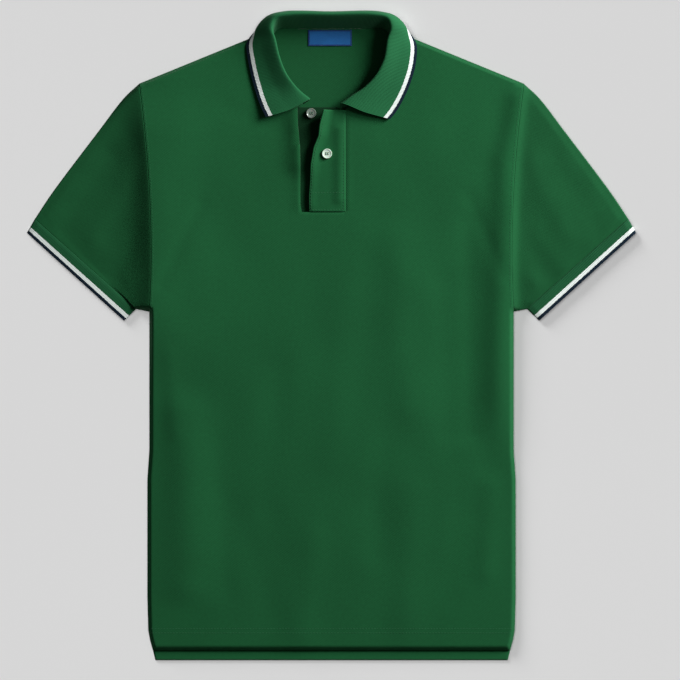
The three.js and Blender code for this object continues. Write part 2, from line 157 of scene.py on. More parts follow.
# Finer creases that the cloth alone has, in the same form as the soft folds
FRONT_CREASES = [
    (-196, 60, -150, 150, 9, -0.45),
    (198, 70, 158, 160, 9, -0.4),
    (-120, 262, -60, 240, 12, -0.35),
    (118, 258, 66, 232, 12, -0.3),
    (-40, 120, -130, 40, 20, 0.35),
    (30, 128, 96, 60, 18, 0.3),
    (72, 110, 84, -80, 20, 0.8),
    (132, 60, 138, -110, 18, -0.8),
    (-172, -90, -167, -285, 24, 2.0),
    (-128, -120, -122, -290, 15, -0.3),
    (182, -175, 177, -270, 14, 0.8),
    (146, -150, 140, -300, 16, -0.3),
    (157, 130, 159, -110, 13, -0.8),
    (9.5, 236, 9.5, 158, 7, 1.1),
    (-36, 236, -36, 152, 8, 0.8),
    (-37, 262, -36, 200, 15, 2.9),
    (-110, -200, -60, -330, 18, -0.4),
    (96, -180, 84, -320, 18, 0.5),
    (-60, -40, -74, -200, 18, -0.4),
    (20, 40, 4, -140, 20, 0.4),
    (-186, -20, -180, -110, 10, 0.4),
    (60, -120, 52, -250, 16, -0.4),
    (-20, -230, -34, -340, 16, 0.4),
]

SLEEVE_TOP = [(221.3, 290.0), (238.6, 273.7), (266.8, 236.9), (322.0, 163.3), (341.0, 134.6)]
CUFF_SEAM = ((341.0, 134.6), (224.8, 31.0))
CUFF_EDGE = ((350.2, 118.6), (238.6, 17.6))
# Soft folds of a sleeve: along and across shares, reach in millimetres, height
SLEEVE_FOLDS = [
    (0.15, 0.30, 0.75, 0.42, 14, 0.6),
    (0.20, 0.62, 0.85, 0.70, 13, -0.5),
    (0.05, 0.84, 0.60, 0.80, 10, 0.5),
    (0.35, 0.15, 0.90, 0.22, 12, -0.35),
]

# Collar sections as (seam, roll, leaf, edge) points, from the middle of the back to the shoulder
COLLAR_BACK = [
    ((0, 354, 0.9), (0, 368.6, 25), (0, 371.4, 13), (0, 367, 2.4)),
    ((42, 354, 0.9), (46, 368.6, 25), (56, 371.4, 13), (55, 367, 2.4)),
    ((60, 354, 2.9), (65, 364.5, 24.5), (74.5, 365.6, 13), (74.5, 360.8, 2.8)),
    ((67.3, 346.5, 3.6), (69, 353.5, 23), (84.5, 353, 13.5), (88.5, 348.5, 4.8)),
    ((69.5, 331, 5.2), (65, 340, 21), (82, 339, 14.5), (97, 335.5, 7.4)),
]
COLLAR_RIGHT = [
    ((66, 315, 5.2), (60.4, 320.9, 19), (78, 319.5, 13), (95.5, 316, 8.1)),
    ((59, 299, 5.2), (53.5, 303, 17), (72, 299.5, 12), (91.4, 296.7, 8.1)),
    ((50, 285, 5.2), (44.3, 289.2, 15), (64, 283.5, 11), (86.3, 278.3, 8.1)),
    ((40, 275, 5.2), (35, 279.5, 14.2), (57, 270, 12.6), (81, 263.4, 9.2)),
    ((31.6, 266.8, 5.2), (24.7, 271.4, 14.6), (49, 259, 14.4), (75.3, 251.3, 11.4)),
]
COLLAR_LEFT = [
    ((64.5, 312.8, 5.2), (61, 317.4, 19), (78.5, 315, 13), (96.6, 312.8, 8.1)),
    ((55, 294.4, 5.2), (51, 298, 17), (70, 293.5, 12), (90.3, 289.8, 8.1)),
    ((42, 279.5, 5.2), (37.4, 284, 15.5), (59, 277, 11.5), (82.2, 271.4, 8.1)),
    ((28, 269, 5.2), (23.6, 275, 14.4), (48, 265.5, 12), (74.2, 257.6, 8.6)),
    ((9.8, 261.5, 5.2), (12, 266.5, 13.5), (39, 256.5, 12.8), (67.3, 249, 9.6)),
]
COLLAR_STEPS = 200
COLLAR_PARTS = 72

# Placket rows: height, left edge of the upper band, left edge of the slot
PLACKET_ROWS = [
    (142.6, -25.9, -34.0),
    (150.0, -25.9, -35.6),
    (162.0, -25.9, -35.8),
    (180.0, -24.5, -35.8),
    (196.0, -23.8, -35.8),
    (216.0, -20.3, -36.2),
    (230.0, -14.6, -37.4),
    (242.0, -13.2, -38.6),
    (259.5, -8.4, -39.0),
    (263.0, -8.0, -39.0),
]
PLACKET_RISE = 0.7
UNDER_LAP = 3.0
# The upper band's free edge curls up, most at the neck; the under band lies deeper
CURL_WIDTH = 13.0
CURL_Y = [142.6, 152.0, 190.0, 225.0, 245.0, 259.5]
CURL_HEIGHT = [0.3, 1.2, 1.8, 4.4, 8.6, 9.8]
UNDER_SINK = 1.0
UNDER_LEAN = 0.6
UPPER_OVERLAP = 0.28
UPPER_SWELL = 0.7
UNDER_SWELL = 0.2

# Tipping of the collar and cuffs: an edge stripe, then a second one beside it
EDGE_STRIPE = 3.6
SECOND_STRIPE = 4.3

# Stitching: rows above the hem and in from other edges, and a stitch's shape
HEM_STITCH = 20.0
HEM_ROWS = 5.0
EDGE_STITCH = 2.4
BOX_STITCH = 22.0
STITCH = {"length": 2.6, "pitch": 3.4, "radius": 0.22}
STITCH_SHARES = (-0.5, -0.3, 0.3, 0.5)
STITCH_LIFTS = (-0.15, 0.03, 0.03, -0.15)
LABEL_THREAD = 0.14
LABEL_BOW = 0.25


def ease(share):
    held = np.clip(share, 0.0, 1.0)
    return held * held * (3.0 - 2.0 * held)


def half_width(y):
    """Half the body's width at heights y."""
    y = np.asarray(y, float)
    side = np.interp(y, SIDE_Y, SIDE_HALF)
    narrow, narrow_y = ARMHOLE_NARROWEST
    low = narrow + (SIDE_HALF[-1] - narrow) * ((y - narrow_y) / (UNDERARM - narrow_y)) ** 2
    high = narrow + (SHOULDER[0] - narrow) * ((y - narrow_y) / (SHOULDER[1] - narrow_y)) ** 2
    armhole = np.where(y < narrow_y, low, high)
    share = (y - SHOULDER[1]) / (NECK_SIDE[1] - SHOULDER[1])
    slope = SHOULDER[0] + (NECK_SIDE[0] - SHOULDER[0]) * share
    return np.where(y <= UNDERARM, side, np.where(y <= SHOULDER[1], armhole, slope))


def row_half_width(y):
    """The armhole as straight stretches between the rows that the solids share."""
    return np.interp(y, ARMHOLE_ROWS, half_width(ARMHOLE_ROWS))


def distance_to_line(x, y, from_x, from_y, to_x, to_y):
    along_x, along_y = to_x - from_x, to_y - from_y
    share = ((x - from_x) * along_x + (y - from_y) * along_y) / (along_x**2 + along_y**2)
    held = np.clip(share, 0.0, 1.0)
    return np.hypot(x - from_x - held * along_x, y - from_y - held * along_y)


def fold_height(folds, x, y):
    total = np.zeros(np.shape(x))
    for from_x, from_y, to_x, to_y, reach, height in folds:
        share = distance_to_line(x, y, from_x, from_y, to_x, to_y) / reach
        total = total + height * np.exp(-(share**2))
    return total


def distance_to_course(x, y, course):
    nearest = np.full(np.shape(x), np.inf)
    for (from_x, from_y), (to_x, to_y) in zip(course, course[1:]):
        nearest = np.minimum(nearest, distance_to_line(x, y, from_x, from_y, to_x, to_y))
    return nearest


def outline_course(rows):
    return [(float(half_width(row)), row) for row in rows]


def ripple(x, y, scale, height, seed):
    """Smooth unevenness of laid cloth, the same on every run."""
    flat_x, flat_y = np.ravel(x) / scale, np.ravel(y) / scale
    values = [noise.noise(Vector((px, py, seed))) for px, py in zip(flat_x, flat_y)]
    return height * np.reshape(values, np.shape(x))


def front_top(x, y, fine=True):
    """Height of the front's upper face."""
    x, y = np.asarray(x, float), np.asarray(y, float)
    side = [(0.0, FRONT_LOW.y), *outline_course([FRONT_LOW.y, *SIDE_Y[2:]])]
    shoulder = outline_course([SHOULDER[1], NECK_SIDE[1]])
    half_x = np.abs(x)
    inward = np.minimum(distance_to_course(half_x, y, side), distance_to_course(half_x, y, shoulder))
    from_armhole = distance_to_course(half_x, y, outline_course(ARMHOLE_ROWS))
    lift = FRONT_LOFT + fold_height(FRONT_FOLDS, x, y)
    if not fine:
        rise = ARMHOLE_RISE * np.exp(-from_armhole / ARMHOLE_REACH)
        return EDGE_TOP + ease(inward / FRONT_ROLL) * (lift + rise)
    crease = bpy.context.scene.shirt_sizes.crease
    high, high_reach = HIGH_SIDE
    fade_left, fade_over = HIGH_SIDE_FADE
    fade = fade_left + (1.0 - fade_left) * ease((SHOULDER[1] - y) / fade_over)
    right = high * fade * np.exp(-((from_armhole / high_reach) ** 2))
    from_ridge = distance_to_course(x, y, LONG_RIDGE)
    reach = np.interp(y, LONG_RIDGE_REACH["y"], LONG_RIDGE_REACH["reach"])
    fade_start, fade_length = LONG_RIDGE_FADE
    left = LONG_RIDGE_RISE * reach * np.exp(-((from_ridge / reach) ** 2))
    left = left * ease((y - fade_start) / fade_length)
    fine_folds = fold_height(FRONT_CREASES, x, y) + ripple(x, y * FRONT_RIPPLE_STRETCH, *FRONT_RIPPLE)
    lift = lift + np.where(x < 0.0, right, left) + crease * fine_folds
    return EDGE_TOP + ease(inward / SIDE_ROLL) * lift


# How far the back's top edge runs on under the collar, from which width and over what length
TUCK = 2.2
TUCK_FROM = 38.0
TUCK_OVER = 14.0


# Making a sheet


def steps(start, end, count):
    return [start + (end - start) * step / count for step in range(count + 1)]


def cloth_mesh(name, columns, rows, place, wrapped=False, keep=None):
    """A grid whose columns and rows are carried to their places, with a map in metres.

    place takes the column and row values of all points and gives x, y, z and the two map
    values, all in millimetres. keep says which points stay; faces on others are left out.
    """
    across, along = len(columns), len(rows)
    bm = bmesh.new()
    bmesh.ops.create_grid(bm, x_segments=across - 1, y_segments=along - 1, size=1.0)
    bm.verts.ensure_lookup_table()
    flat = np.array([vert.co[:2] for vert in bm.verts])
    column = np.rint((flat[:, 0] + 1.0) / 2.0 * (across - 1)).astype(int)
    row = np.rint((flat[:, 1] + 1.0) / 2.0 * (along - 1)).astype(int)
    x, y, z, map_u, map_v = place(np.asarray(columns, float)[column], np.asarray(rows, float)[row])
    layer = bm.loops.layers.uv.new("UVMap")
    for vert, px, py, pz in zip(bm.verts, x, y, z):
        vert.co = Vector((px, py, pz)) * MM
    for face in bm.faces:
        for loop in face.loops:
            at = loop.vert.index
            loop[layer].uv = (map_u[at] * MM, map_v[at] * MM)
    if keep is not None:
        staying = keep(x, y)
        lost = [face for face in bm.faces if not all(staying[vert.index] for vert in face.verts)]
        bmesh.ops.delete(bm, geom=lost, context="FACES")
    if wrapped:
        bmesh.ops.remove_doubles(bm, verts=bm.verts, dist=0.01 * MM)
    piece = add_piece(name, bm)
    piece.data.shade_smooth()
    return piece


def add_piece(name, bm):
    """A new object in the scene with the built mesh."""
    mesh = bpy.data.meshes.new(name)
    bm.to_mesh(mesh)
    bm.free()
    piece = bpy.data.objects.new(name, mesh)
    bpy.context.scene.collection.objects.link(piece)
    return piece


def give_wall(piece, thickness, offset=-1.0, bevel=0.0):
    wall = piece.modifiers.new("Wall", "SOLIDIFY")
    wall.thickness = thickness * MM
    wall.offset = offset
    wall.use_quality_normals = True
    if bevel:
        edge = piece.modifiers.new("Edge", "BEVEL")
        edge.width = bevel * MM
        edge.segments = 2
        edge.limit_method = "ANGLE"
        edge.angle_limit = math.radians(50)
    normals = piece.modifiers.new("Normals", "WEIGHTED_NORMAL")
    normals.keep_sharp = True
    return wall


def dress(piece, solid, material):
    """Puts a piece in its solid's place with its material."""
    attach(piece, "root")
    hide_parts(solid)
    piece.data.materials.append(material)


# Materials


# How far a pique cell is drawn out, then the pitch of the finest loops and threads
PIQUE_SQUASH = 0.62
RIB_COURSE = 0.9
LABEL_ROW = 0.35
LABEL_WARP = 0.28
LABEL_RIM = 1.6


def new_material(name):
    material = bpy.data.materials.new(name)
    material.use_nodes = True
    tree = material.node_tree
    return material, tree, tree.nodes["Principled BSDF"]


def math_node(tree, operation, *values):
    made = tree.nodes.new("ShaderNodeMath")
    made.operation = operation
    for socket, value in zip(made.inputs, values):
        if isinstance(value, (int, float)):
            socket.default_value = value
        else:
            tree.links.new(value, socket)
    return made.outputs[0]


def wave(tree, value, pitch):
    """A sine along a value, with a turn for each pitch in millimetres."""
    return math_node(tree, "SINE", math_node(tree, "MULTIPLY", value, 2.0 * math.pi / (pitch * MM)))


def mix_colours(tree, factor, first, second, blend="MIX"):
    made = tree.nodes.new("ShaderNodeMix")
    made.data_type = "RGBA"
    made.blend_type = blend
    for socket, value in ((made.inputs[0], factor), (made.inputs[6], first), (made.inputs[7], second)):
        if isinstance(value, (int, float)):
            socket.default_value = value
        elif isinstance(value, (tuple, list)):
            socket.default_value = (*value[:3], 1.0)
        else:
            tree.links.new(value, socket)
    return made.outputs[2]


def colour(values, factor=1.0):
    return tuple(channel * factor for channel in values[:3])


def map_parts(tree):
    """The piece's map, then its two values in metres."""
    source = tree.nodes.new("ShaderNodeUVMap")
    source.uv_map = "UVMap"
    parts = tree.nodes.new("ShaderNodeSeparateXYZ")
    tree.links.new(source.outputs[0], parts.inputs[0])
    return source.outputs[0], parts.outputs[0], parts.outputs[1]


def object_place(tree):
    return tree.nodes.new("ShaderNodeTexCoord").outputs["Object"]


def cloud(tree, vector, scale, detail=3.0, distortion=0.0):
    made = tree.nodes.new("ShaderNodeTexNoise")
    made.inputs["Scale"].default_value = scale
    made.inputs["Detail"].default_value = detail
    made.inputs["Distortion"].default_value = distortion
    tree.links.new(vector, made.inputs["Vector"])
    return made.outputs["Fac"]


def spread(tree, value, start, end, first, last, interpolation="LINEAR"):
    """Carries a value's stretch from start to end onto the one from first to last."""
    made = tree.nodes.new("ShaderNodeMapRange")
    made.interpolation_type = interpolation
    for slot, number in enumerate((start, end, first, last), 1):
        made.inputs[slot].default_value = number
    tree.links.new(value, made.inputs[0])
    return made.outputs[0]


def soft_tone(tree, vector, scale, low, high):
    """Slow unevenness between two values."""
    return spread(tree, cloud(tree, vector, scale), 0.3, 0.7, low, high)


def raise_surface(tree, shader, height, strength, depth):
    """Raises a pattern on the surface, its depth in millimetres."""
    bump = tree.nodes.new("ShaderNodeBump")
    bump.inputs["Strength"].default_value = strength
    bump.inputs["Distance"].default_value = depth * MM
    tree.links.new(height, bump.inputs["Height"])
    tree.links.new(bump.outputs[0], shader.inputs["Normal"])


def tint_surface(tree, shader, base, tone):
    """Colours the surface, lighter or darker by a tone."""
    grey = tree.nodes.new("ShaderNodeCombineColor")
    for socket in grey.inputs:
        tree.links.new(tone, socket)
    tinted = mix_colours(tree, 1.0, base, grey.outputs[0], "MULTIPLY")
    tree.links.new(tinted, shader.inputs["Base Color"])


def fabric_surface(shader, roughness, sheen):
    shader.inputs["Roughness"].default_value = roughness
    shader.inputs["Specular IOR Level"].default_value = 0.12
    shader.inputs["Sheen Weight"].default_value = sheen
    shader.inputs["Sheen Roughness"].default_value = 0.45


def pique_material(name, base, shade=None):
    """Pique knit: staggered raised cells, darker in the hollows between them as painted shade, a faint
    wale and slow changes of tone.

    shade gives two heights, in millimetres, and the tone at each: painted light and shade, a tone that
    lightens or darkens the cloth between those heights.
    """
    material, tree, shader = new_material(name)
    pitch = bpy.context.scene.shirt_sizes.pique_pitch
    vector, across, along = map_parts(tree)
    cells = math_node(
        tree, "MULTIPLY", wave(tree, across, pitch), wave(tree, along, pitch / PIQUE_SQUASH),
    )
    thread = math_node(tree, "MULTIPLY", cloud(tree, vector, 1400.0, 2.0), 0.8)
    raise_surface(tree, shader, math_node(tree, "ADD", cells, thread), 0.5, 0.12)
    # Painted shade: the tone follows the cells' height, lighter on the raised cells and darker in the
    # hollows between them.
    tone = math_node(tree, "MULTIPLY_ADD", cells, 0.07, 1.0)
    for scale in (9.0, 260.0):
        tone = math_node(tree, "MULTIPLY", tone, soft_tone(tree, vector, scale, 0.95, 1.05))
    # Painted light and shade: a tone that changes between two heights on the map.
    if shade:
        start, end, first, last = shade
        change = spread(tree, along, start * MM, end * MM, first, last, "SMOOTHSTEP")
        tone = math_node(tree, "MULTIPLY", tone, change)
    tint_surface(tree, shader, colour(base), tone)
    fabric_surface(shader, 0.93, 0.05)
    return material


def rib_material(name, base, edge_colour, second_colour):
    """Rib knit: fine ribs, darker between them as painted shade, with two stripes beside the finished
    edge.

    The map's second value is the distance in from that edge.
    """
    material, tree, shader = new_material(name)
    vector, across, along = map_parts(tree)
    ribs = wave(tree, across, bpy.context.scene.shirt_sizes.rib_pitch)
    courses = math_node(tree, "MULTIPLY", wave(tree, along, RIB_COURSE), 0.3)
    raise_surface(tree, shader, math_node(tree, "ADD", ribs, courses), 0.55, 0.18)
    wobble = math_node(tree, "MULTIPLY", soft_tone(tree, vector, 700.0, -0.5, 0.5), 0.5 * MM)
    reach = math_node(tree, "ADD", along, wobble)
    in_edge = math_node(tree, "LESS_THAN", reach, EDGE_STRIPE * MM)
    in_second = math_node(tree, "LESS_THAN", reach, (EDGE_STRIPE + SECOND_STRIPE) * MM)
    striped = mix_colours(tree, in_second, colour(base), colour(second_colour))
    striped = mix_colours(tree, in_edge, striped, colour(edge_colour))
    # Painted shade: the tone follows the ribs' height, darker in the grooves between them.
    tone = math_node(tree, "MULTIPLY_ADD", ribs, 0.06, 1.0)
    tone = math_node(tree, "MULTIPLY", tone, soft_tone(tree, vector, 14.0, 0.95, 1.05))
    tint_surface(tree, shader, striped, tone)
    fabric_surface(shader, 0.88, 0.06)
    return material


def thread_material(name, base):
    material, tree, shader = new_material(name)
    tint_surface(tree, shader, colour(base), soft_tone(tree, object_place(tree), 900.0, 0.85, 1.15))
    fabric_surface(shader, 0.7, 0.15)
    return material


def pearl_material(name, base):
    """Mother-of-pearl: cloudy bands under a polished face."""
    material, tree, shader = new_material(name)
    bands = cloud(tree, object_place(tree), 260.0, 4.0, 1.6)
    pearl = mix_colours(tree, bands, colour(base, 0.72), colour(base, 1.12))
    tree.links.new(pearl, shader.inputs["Base Color"])
    shader.inputs["Roughness"].default_value = 0.22
    shader.inputs["Coat Weight"].default_value = 0.6
    shader.inputs["Coat Roughness"].default_value = 0.08
    shader.inputs["Subsurface Weight"].default_value = 0.1
    shader.inputs["Subsurface Scale"].default_value = 0.001
    return material


def woven_material(name, base, border):
    """Satin-woven label: fine rows of thread and a plain darker border."""
    material, tree, shader = new_material(name)
    vector, across, along = map_parts(tree)
    warp = math_node(tree, "MULTIPLY", wave(tree, across, LABEL_WARP), 0.5)
    raise_surface(tree, shader, math_node(tree, "ADD", wave(tree, along, LABEL_ROW), warp), 0.4, 0.05)
    insets = []
    for place, size in ((across, LABEL_HIGH.x - LABEL_LOW.x), (along, LABEL_HIGH.y - LABEL_LOW.y)):
        insets.append(math_node(tree, "SUBTRACT", size / 2.0 * MM, math_node(tree, "ABSOLUTE", place)))
    rim = math_node(tree, "LESS_THAN", math_node(tree, "MINIMUM", *insets), LABEL_RIM * MM)
    uneven = soft_tone(tree, vector, 60.0, 0.0, 1.0)
    woven = mix_colours(tree, uneven, colour(base, 0.88), colour(base, 1.1))
    tree.links.new(mix_colours(tree, rim, woven, colour(border)), shader.inputs["Base Color"])
    fabric_surface(shader, 0.6, 0.05)
    return material


def floor_material(name, base):
    material, tree, shader = new_material(name)
    tint_surface(tree, shader, colour(base), soft_tone(tree, object_place(tree), 1.5, 0.992, 1.008))
    shader.inputs["Roughness"].default_value = 0.9
    shader.inputs["Specular IOR Level"].default_value = 0.1
    return material


def shirt_materials():
    """The shirt's materials, made once and shared by its pieces, with lighter and darker copies of some
    that are painted light and shade.
    """
    colours = bpy.context.scene.shirt_colours
    made = bpy.data.materials
    if "pique knit" not in made:
        pique_material("pique knit", colours.pique)
        # Painted shade: the sleeves get a darker copy of the pique, 0.89 of it, for the shade that
        # falls on them.
        pique_material("pique sleeve painted shade", colour(colours.pique, 0.89))
        # Painted shade: the back's upper face, seen inside the neck and below the front's hem, gets a
        # darker copy of the pique, 0.86 of it; painted light lightens it by 1.3 on the strip below the
        # front's hem.
        hem_painted_light = (FRONT_LOW.y - 4.0, FRONT_LOW.y + 3.0, 1.3, 1.0)
        pique_material("pique inside painted shade", colour(colours.pique, 0.86), hem_painted_light)
        # Painted shade: the under band gets a darker copy of the pique, 0.85 of it, darkened further
        # from 0.72 at 180 mm to 0.4 at 232 mm, for the shadow in the placket's opening.
        pique_material("pique underlap painted shade", colour(colours.pique, 0.85), (180.0, 232.0, 0.72, 0.4))
        rib_material("collar rib", colours.rib, colours.edge, colours.second)
        # Painted shade: the cuffs get a darker copy of the collar's rib, 0.74 of it.
        rib_material("cuff rib painted shade", colour(colours.rib, 0.74), colours.edge, colours.second)
        # Painted light: the seam thread is lighter than the pique, to offset the shade on the stitches.
        thread_material("seam thread painted light", colours.thread)
        thread_material("button thread", colours.button_thread)
        pearl_material("mother of pearl", colours.pearl)
        # Painted shade: the top button gets a darker copy of the pearl, 0.27 of it, for the shadow it
        # lies in.
        pearl_material("mother of pearl painted shade", colour(colours.pearl, 0.27))
        woven_material("woven label", colours.label, colours.label_border)
    return made


# Body


def body_rows(hem):
    """Heights of a body panel's rows, closer together by the hem."""
    near = [hem + 0.6, hem + 1.6]
    turned = steps(hem + 3.0, hem + HEM_STITCH + 4.0, 12)
    main = steps(hem + HEM_STITCH + 4.0, UNDERARM, 112)
    armhole = steps(UNDERARM, SHOULDER[1], 90)
    shoulder = steps(SHOULDER[1], NECK_SIDE[1], 34)
    return [hem, *near, *turned, *main[1:], *armhole[1:], *shoulder[1:]]


def side_shares(count, crowd):
    """Shares of the half width from -1 to 1, closer together by the sides."""
    return [u * (1.0 + crowd) - crowd * u**3 for u in steps(-1.0, 1.0, count)]


def collar_sections():
    def on_side(rows, side):
        return [[Vector((side * x, y, z)) for x, y, z in row] for row in rows]
    left = on_side(COLLAR_BACK + COLLAR_LEFT, 1)
    left.reverse()
    return left + on_side(COLLAR_BACK[1:] + COLLAR_RIGHT, -1)


def curve_point(points, share):
    """A point of the smooth curve through the given points, spaced by the root of their gaps."""
    last = len(points) - 1
    at = min(max(share, 0.0), 1.0) * last
    start = min(int(at), last - 1)
    part = at - start
    second, third = points[start], points[start + 1]
    first = points[start - 1] if start else second * 2 - third
    fourth = points[start + 2] if start + 2 <= last else third * 2 - second
    gaps = [(b - a).length ** 0.5 for a, b in ((first, second), (second, third), (third, fourth))]
    middle = gaps[1] if gaps[1] > 1e-4 else 1.0
    before = gaps[0] if gaps[0] > 1e-4 else middle
    after = gaps[2] if gaps[2] > 1e-4 else middle
    leave = (second - first) / before - (third - first) / (before + middle) + (third - second) / middle
    arrive = (third - second) / middle - (fourth - second) / (middle + after) + (fourth - third) / after
    leave, arrive = leave * middle, arrive * middle
    cube, square = part**3, part**2
    return (
        second * (2 * cube - 3 * square + 1)
        + leave * (cube - 2 * square + part)
        + third * (3 * square - 2 * cube)
        + arrive * (cube - square)
    )


def collar_surface(count, parts):
    """Rows of points across the collar's middle, one row for each step round the neck."""
    sections = collar_sections()
    courses = [[section[name] for section in sections] for name in range(4)]
    surface = []
    for share in steps(0.0, 1.0, count):
        points = [curve_point(course, share) for course in courses]
        surface.append([curve_point(points, part) for part in steps(0.0, 1.0, parts)])
    return surface


def neck_outline():
    """The front's neckline, just outside the collar's foot."""
    foot = [row[0] for row in collar_surface(88, 1)]
    clear = RIB_WALL / 2 + GAP
    outline = []
    for step, point in enumerate(foot):
        ahead = foot[min(step + 1, len(foot) - 1)]
        behind = foot[max(step - 1, 0)]
        along = Vector((ahead.x - behind.x, ahead.y - behind.y)).normalized()
        outline.append((point.x + along.y * clear, point.y - along.x * clear))
    return outline


def inside_outline(outline, x, y):
    """Which points lie inside a closed outline."""
    inside = np.zeros(np.shape(x), bool)
    for (ax, ay), (bx, by) in zip(outline, outline[1:] + outline[:1]):
        if ay == by:
            continue
        crosses = (ay > y) != (by > y)
        inside ^= crosses & (x < (bx - ax) * (y - ay) / (by - ay) + ax)
    return inside


def placket_value(y, column):
    heights = [row[0] for row in PLACKET_ROWS]
    return np.interp(y, heights, [row[column] for row in PLACKET_ROWS])


def upper_band_top(x, y):
    """Height of the upper band's face, with its curled free edge."""
    from_edge = np.clip((x - placket_value(y, 1)) / CURL_WIDTH, 0.0, 1.0)
    curl = np.interp(y, CURL_Y, CURL_HEIGHT) * (1.0 - from_edge) ** 2
    return front_top(x, y) + PLACKET_RISE + curl


def under_band_top(x, y):
    """Height of the under band's face, which leans down towards the slot's free side."""
    lean = UNDER_LEAN * ease((-8.0 - x) / 28.0)
    return front_top(x, y, fine=False) - WALL - GAP - UNDER_SINK - lean


def slot_outline():
    top = PLACKET_ROWS[-1][0] + 9.0
    right = UPPER_HIGH.x + GAP
    bottom = UPPER_LOW.y - GAP
    left = [(slot, y) for y, _, slot in reversed(PLACKET_ROWS[1:])]
    return [(right, top), (left[0][0], top), *left, (PLACKET_ROWS[0][2], bottom), (right, bottom)]


def snap_rim(piece, outlines, reach):
    """Moves the points of a cut rim onto the nearest outline."""
    bm = bmesh.new()
    bm.from_mesh(piece.data)
    for vert in bm.verts:
        if not vert.is_boundary:
            continue
        x, y = vert.co.x / MM, vert.co.y / MM
        best = None
        for outline in outlines:
            for (ax, ay), (bx, by) in zip(outline, outline[1:] + outline[:1]):
                dx, dy = bx - ax, by - ay
                size = dx * dx + dy * dy
                if size == 0.0:
                    continue
                share = min(max(((x - ax) * dx + (y - ay) * dy) / size, 0.0), 1.0)
                at = (ax + share * dx, ay + share * dy)
                away = math.hypot(x - at[0], y - at[1])
                if best is None or away < best[0]:
                    best = (away, at)
        if best[0] < reach:
            vert.co.x, vert.co.y = best[1][0] * MM, best[1][1] * MM
    bm.to_mesh(piece.data)
    bm.free()


class SHIRT_OT_back(bpy.types.Operator):
    """Lay the back panel flat on the surface"""

    bl_idname = "shirt.back"
    bl_label = "Back"

    def execute(self, context):
        def place(share, y):
            x = share * half_width(y)
            near_top = ease((y - NECK_SIDE[1] + 3.0) / 3.0)
            under_collar = near_top * ease((np.abs(x) - TUCK_FROM) / TUCK_OVER)
            z = np.full(np.shape(x), WALL)
            return x, y + TUCK * under_collar, z, x, y

        rows = [*body_rows(BACK_LOW.y)[::2]]
        rows = [*(row for row in rows if row < NECK_SIDE[1]), NECK_SIDE[1] + 0.6]
        panel = cloth_mesh("back_panel", side_shares(70, 0.3), rows, place)
        wall = give_wall(panel, WALL)
        # The back's upper face takes the darker copy of the pique that is painted shade; its underside
        # and rims take the plain pique.
        wall.material_offset = 1
        wall.material_offset_rim = 1
        dress(panel, "back", shirt_materials()["pique inside painted shade"])
        panel.data.materials.append(shirt_materials()["pique knit"])
        return {"FINISHED"}


class SHIRT_OT_front(bpy.types.Operator):
    """Lay the front panel on the back, with its soft folds, neckline and placket slot"""

    bl_idname = "shirt.front"
    bl_label = "Front"

    def execute(self, context):
        neck, slot = neck_outline(), slot_outline()

        def place(share, y):
            x = share * half_width(y)
            return x, y, front_top(x, y), x, y

        def keep(x, y):
            return ~(inside_outline(neck, x, y) | inside_outline(slot, x, y))

        rows = body_rows(FRONT_LOW.y)
        panel = cloth_mesh("front_panel", side_shares(150, 0.3), rows, place, keep=keep)
        snap_rim(panel, [neck, slot], 4.5)
        give_wall(panel, WALL)
        dress(panel, "front", shirt_materials()["pique knit"])
        return {"FINISHED"}


# Sleeves and cuffs


def sleeve_place(along, across):
    """Where a share along and across the sleeve lies, on the side of +X."""
    armhole_y = SHOULDER[1] + (UNDERARM - SHOULDER[1]) * across
    armhole_x = row_half_width(armhole_y) + SEAM_GAP
    (seam_x, seam_y), (low_x, low_y) = CUFF_SEAM
    cuff_x = seam_x + (low_x - seam_x) * across
    cuff_y = seam_y + (low_y - seam_y) * across
    start_x, start_y = SLEEVE_TOP[0]
    top_x, top_y = top_course(along)
    bow = (1.0 - across) ** 2
    x = armhole_x + (cuff_x - armhole_x) * along + bow * (top_x - start_x - (seam_x - start_x) * along)
    y = armhole_y + (cuff_y - armhole_y) * along + bow * (top_y - start_y - (seam_y - start_y) * along)
    return x, y


def top_course(along):
    """The sleeve's top fold at shares of its length."""
    points = [Vector((x, y, 0.0)) for x, y in SLEEVE_TOP]
    course = [curve_point(points, share) for share in steps(0.0, 1.0, 200)]
    lengths = np.cumsum([0.0, *((b - a).length for a, b in zip(course, course[1:]))])
    shares = lengths / lengths[-1]
    xs = np.interp(along, shares, [point.x for point in course])
    ys = np.interp(along, shares, [point.y for point in course])
    return xs, ys


def flat_ring(turn, length, wall_radius):
    """How far in from the first fold a turn of the ring lies, its side and its share of the rise."""
    round_part = 0.08
    turn = np.mod(turn, 1.0)
    upper = turn <= 0.5
    half = np.where(upper, turn, 1.0 - turn) * 2.0
    bend = np.clip(np.minimum(half, 1.0 - half) / round_part, 0.0, 1.0)
    angle = bend * math.pi / 2.0
    inward = wall_radius * (1.0 - np.cos(angle))
    flat = wall_radius + (length - 2.0 * wall_radius) * (half - round_part) / (1.0 - 2.0 * round_part)
    at = np.where(half < round_part, inward, np.where(half > 1.0 - round_part, length - inward, flat))
    return at, np.where(upper, 1.0, -1.0), np.sin(angle)


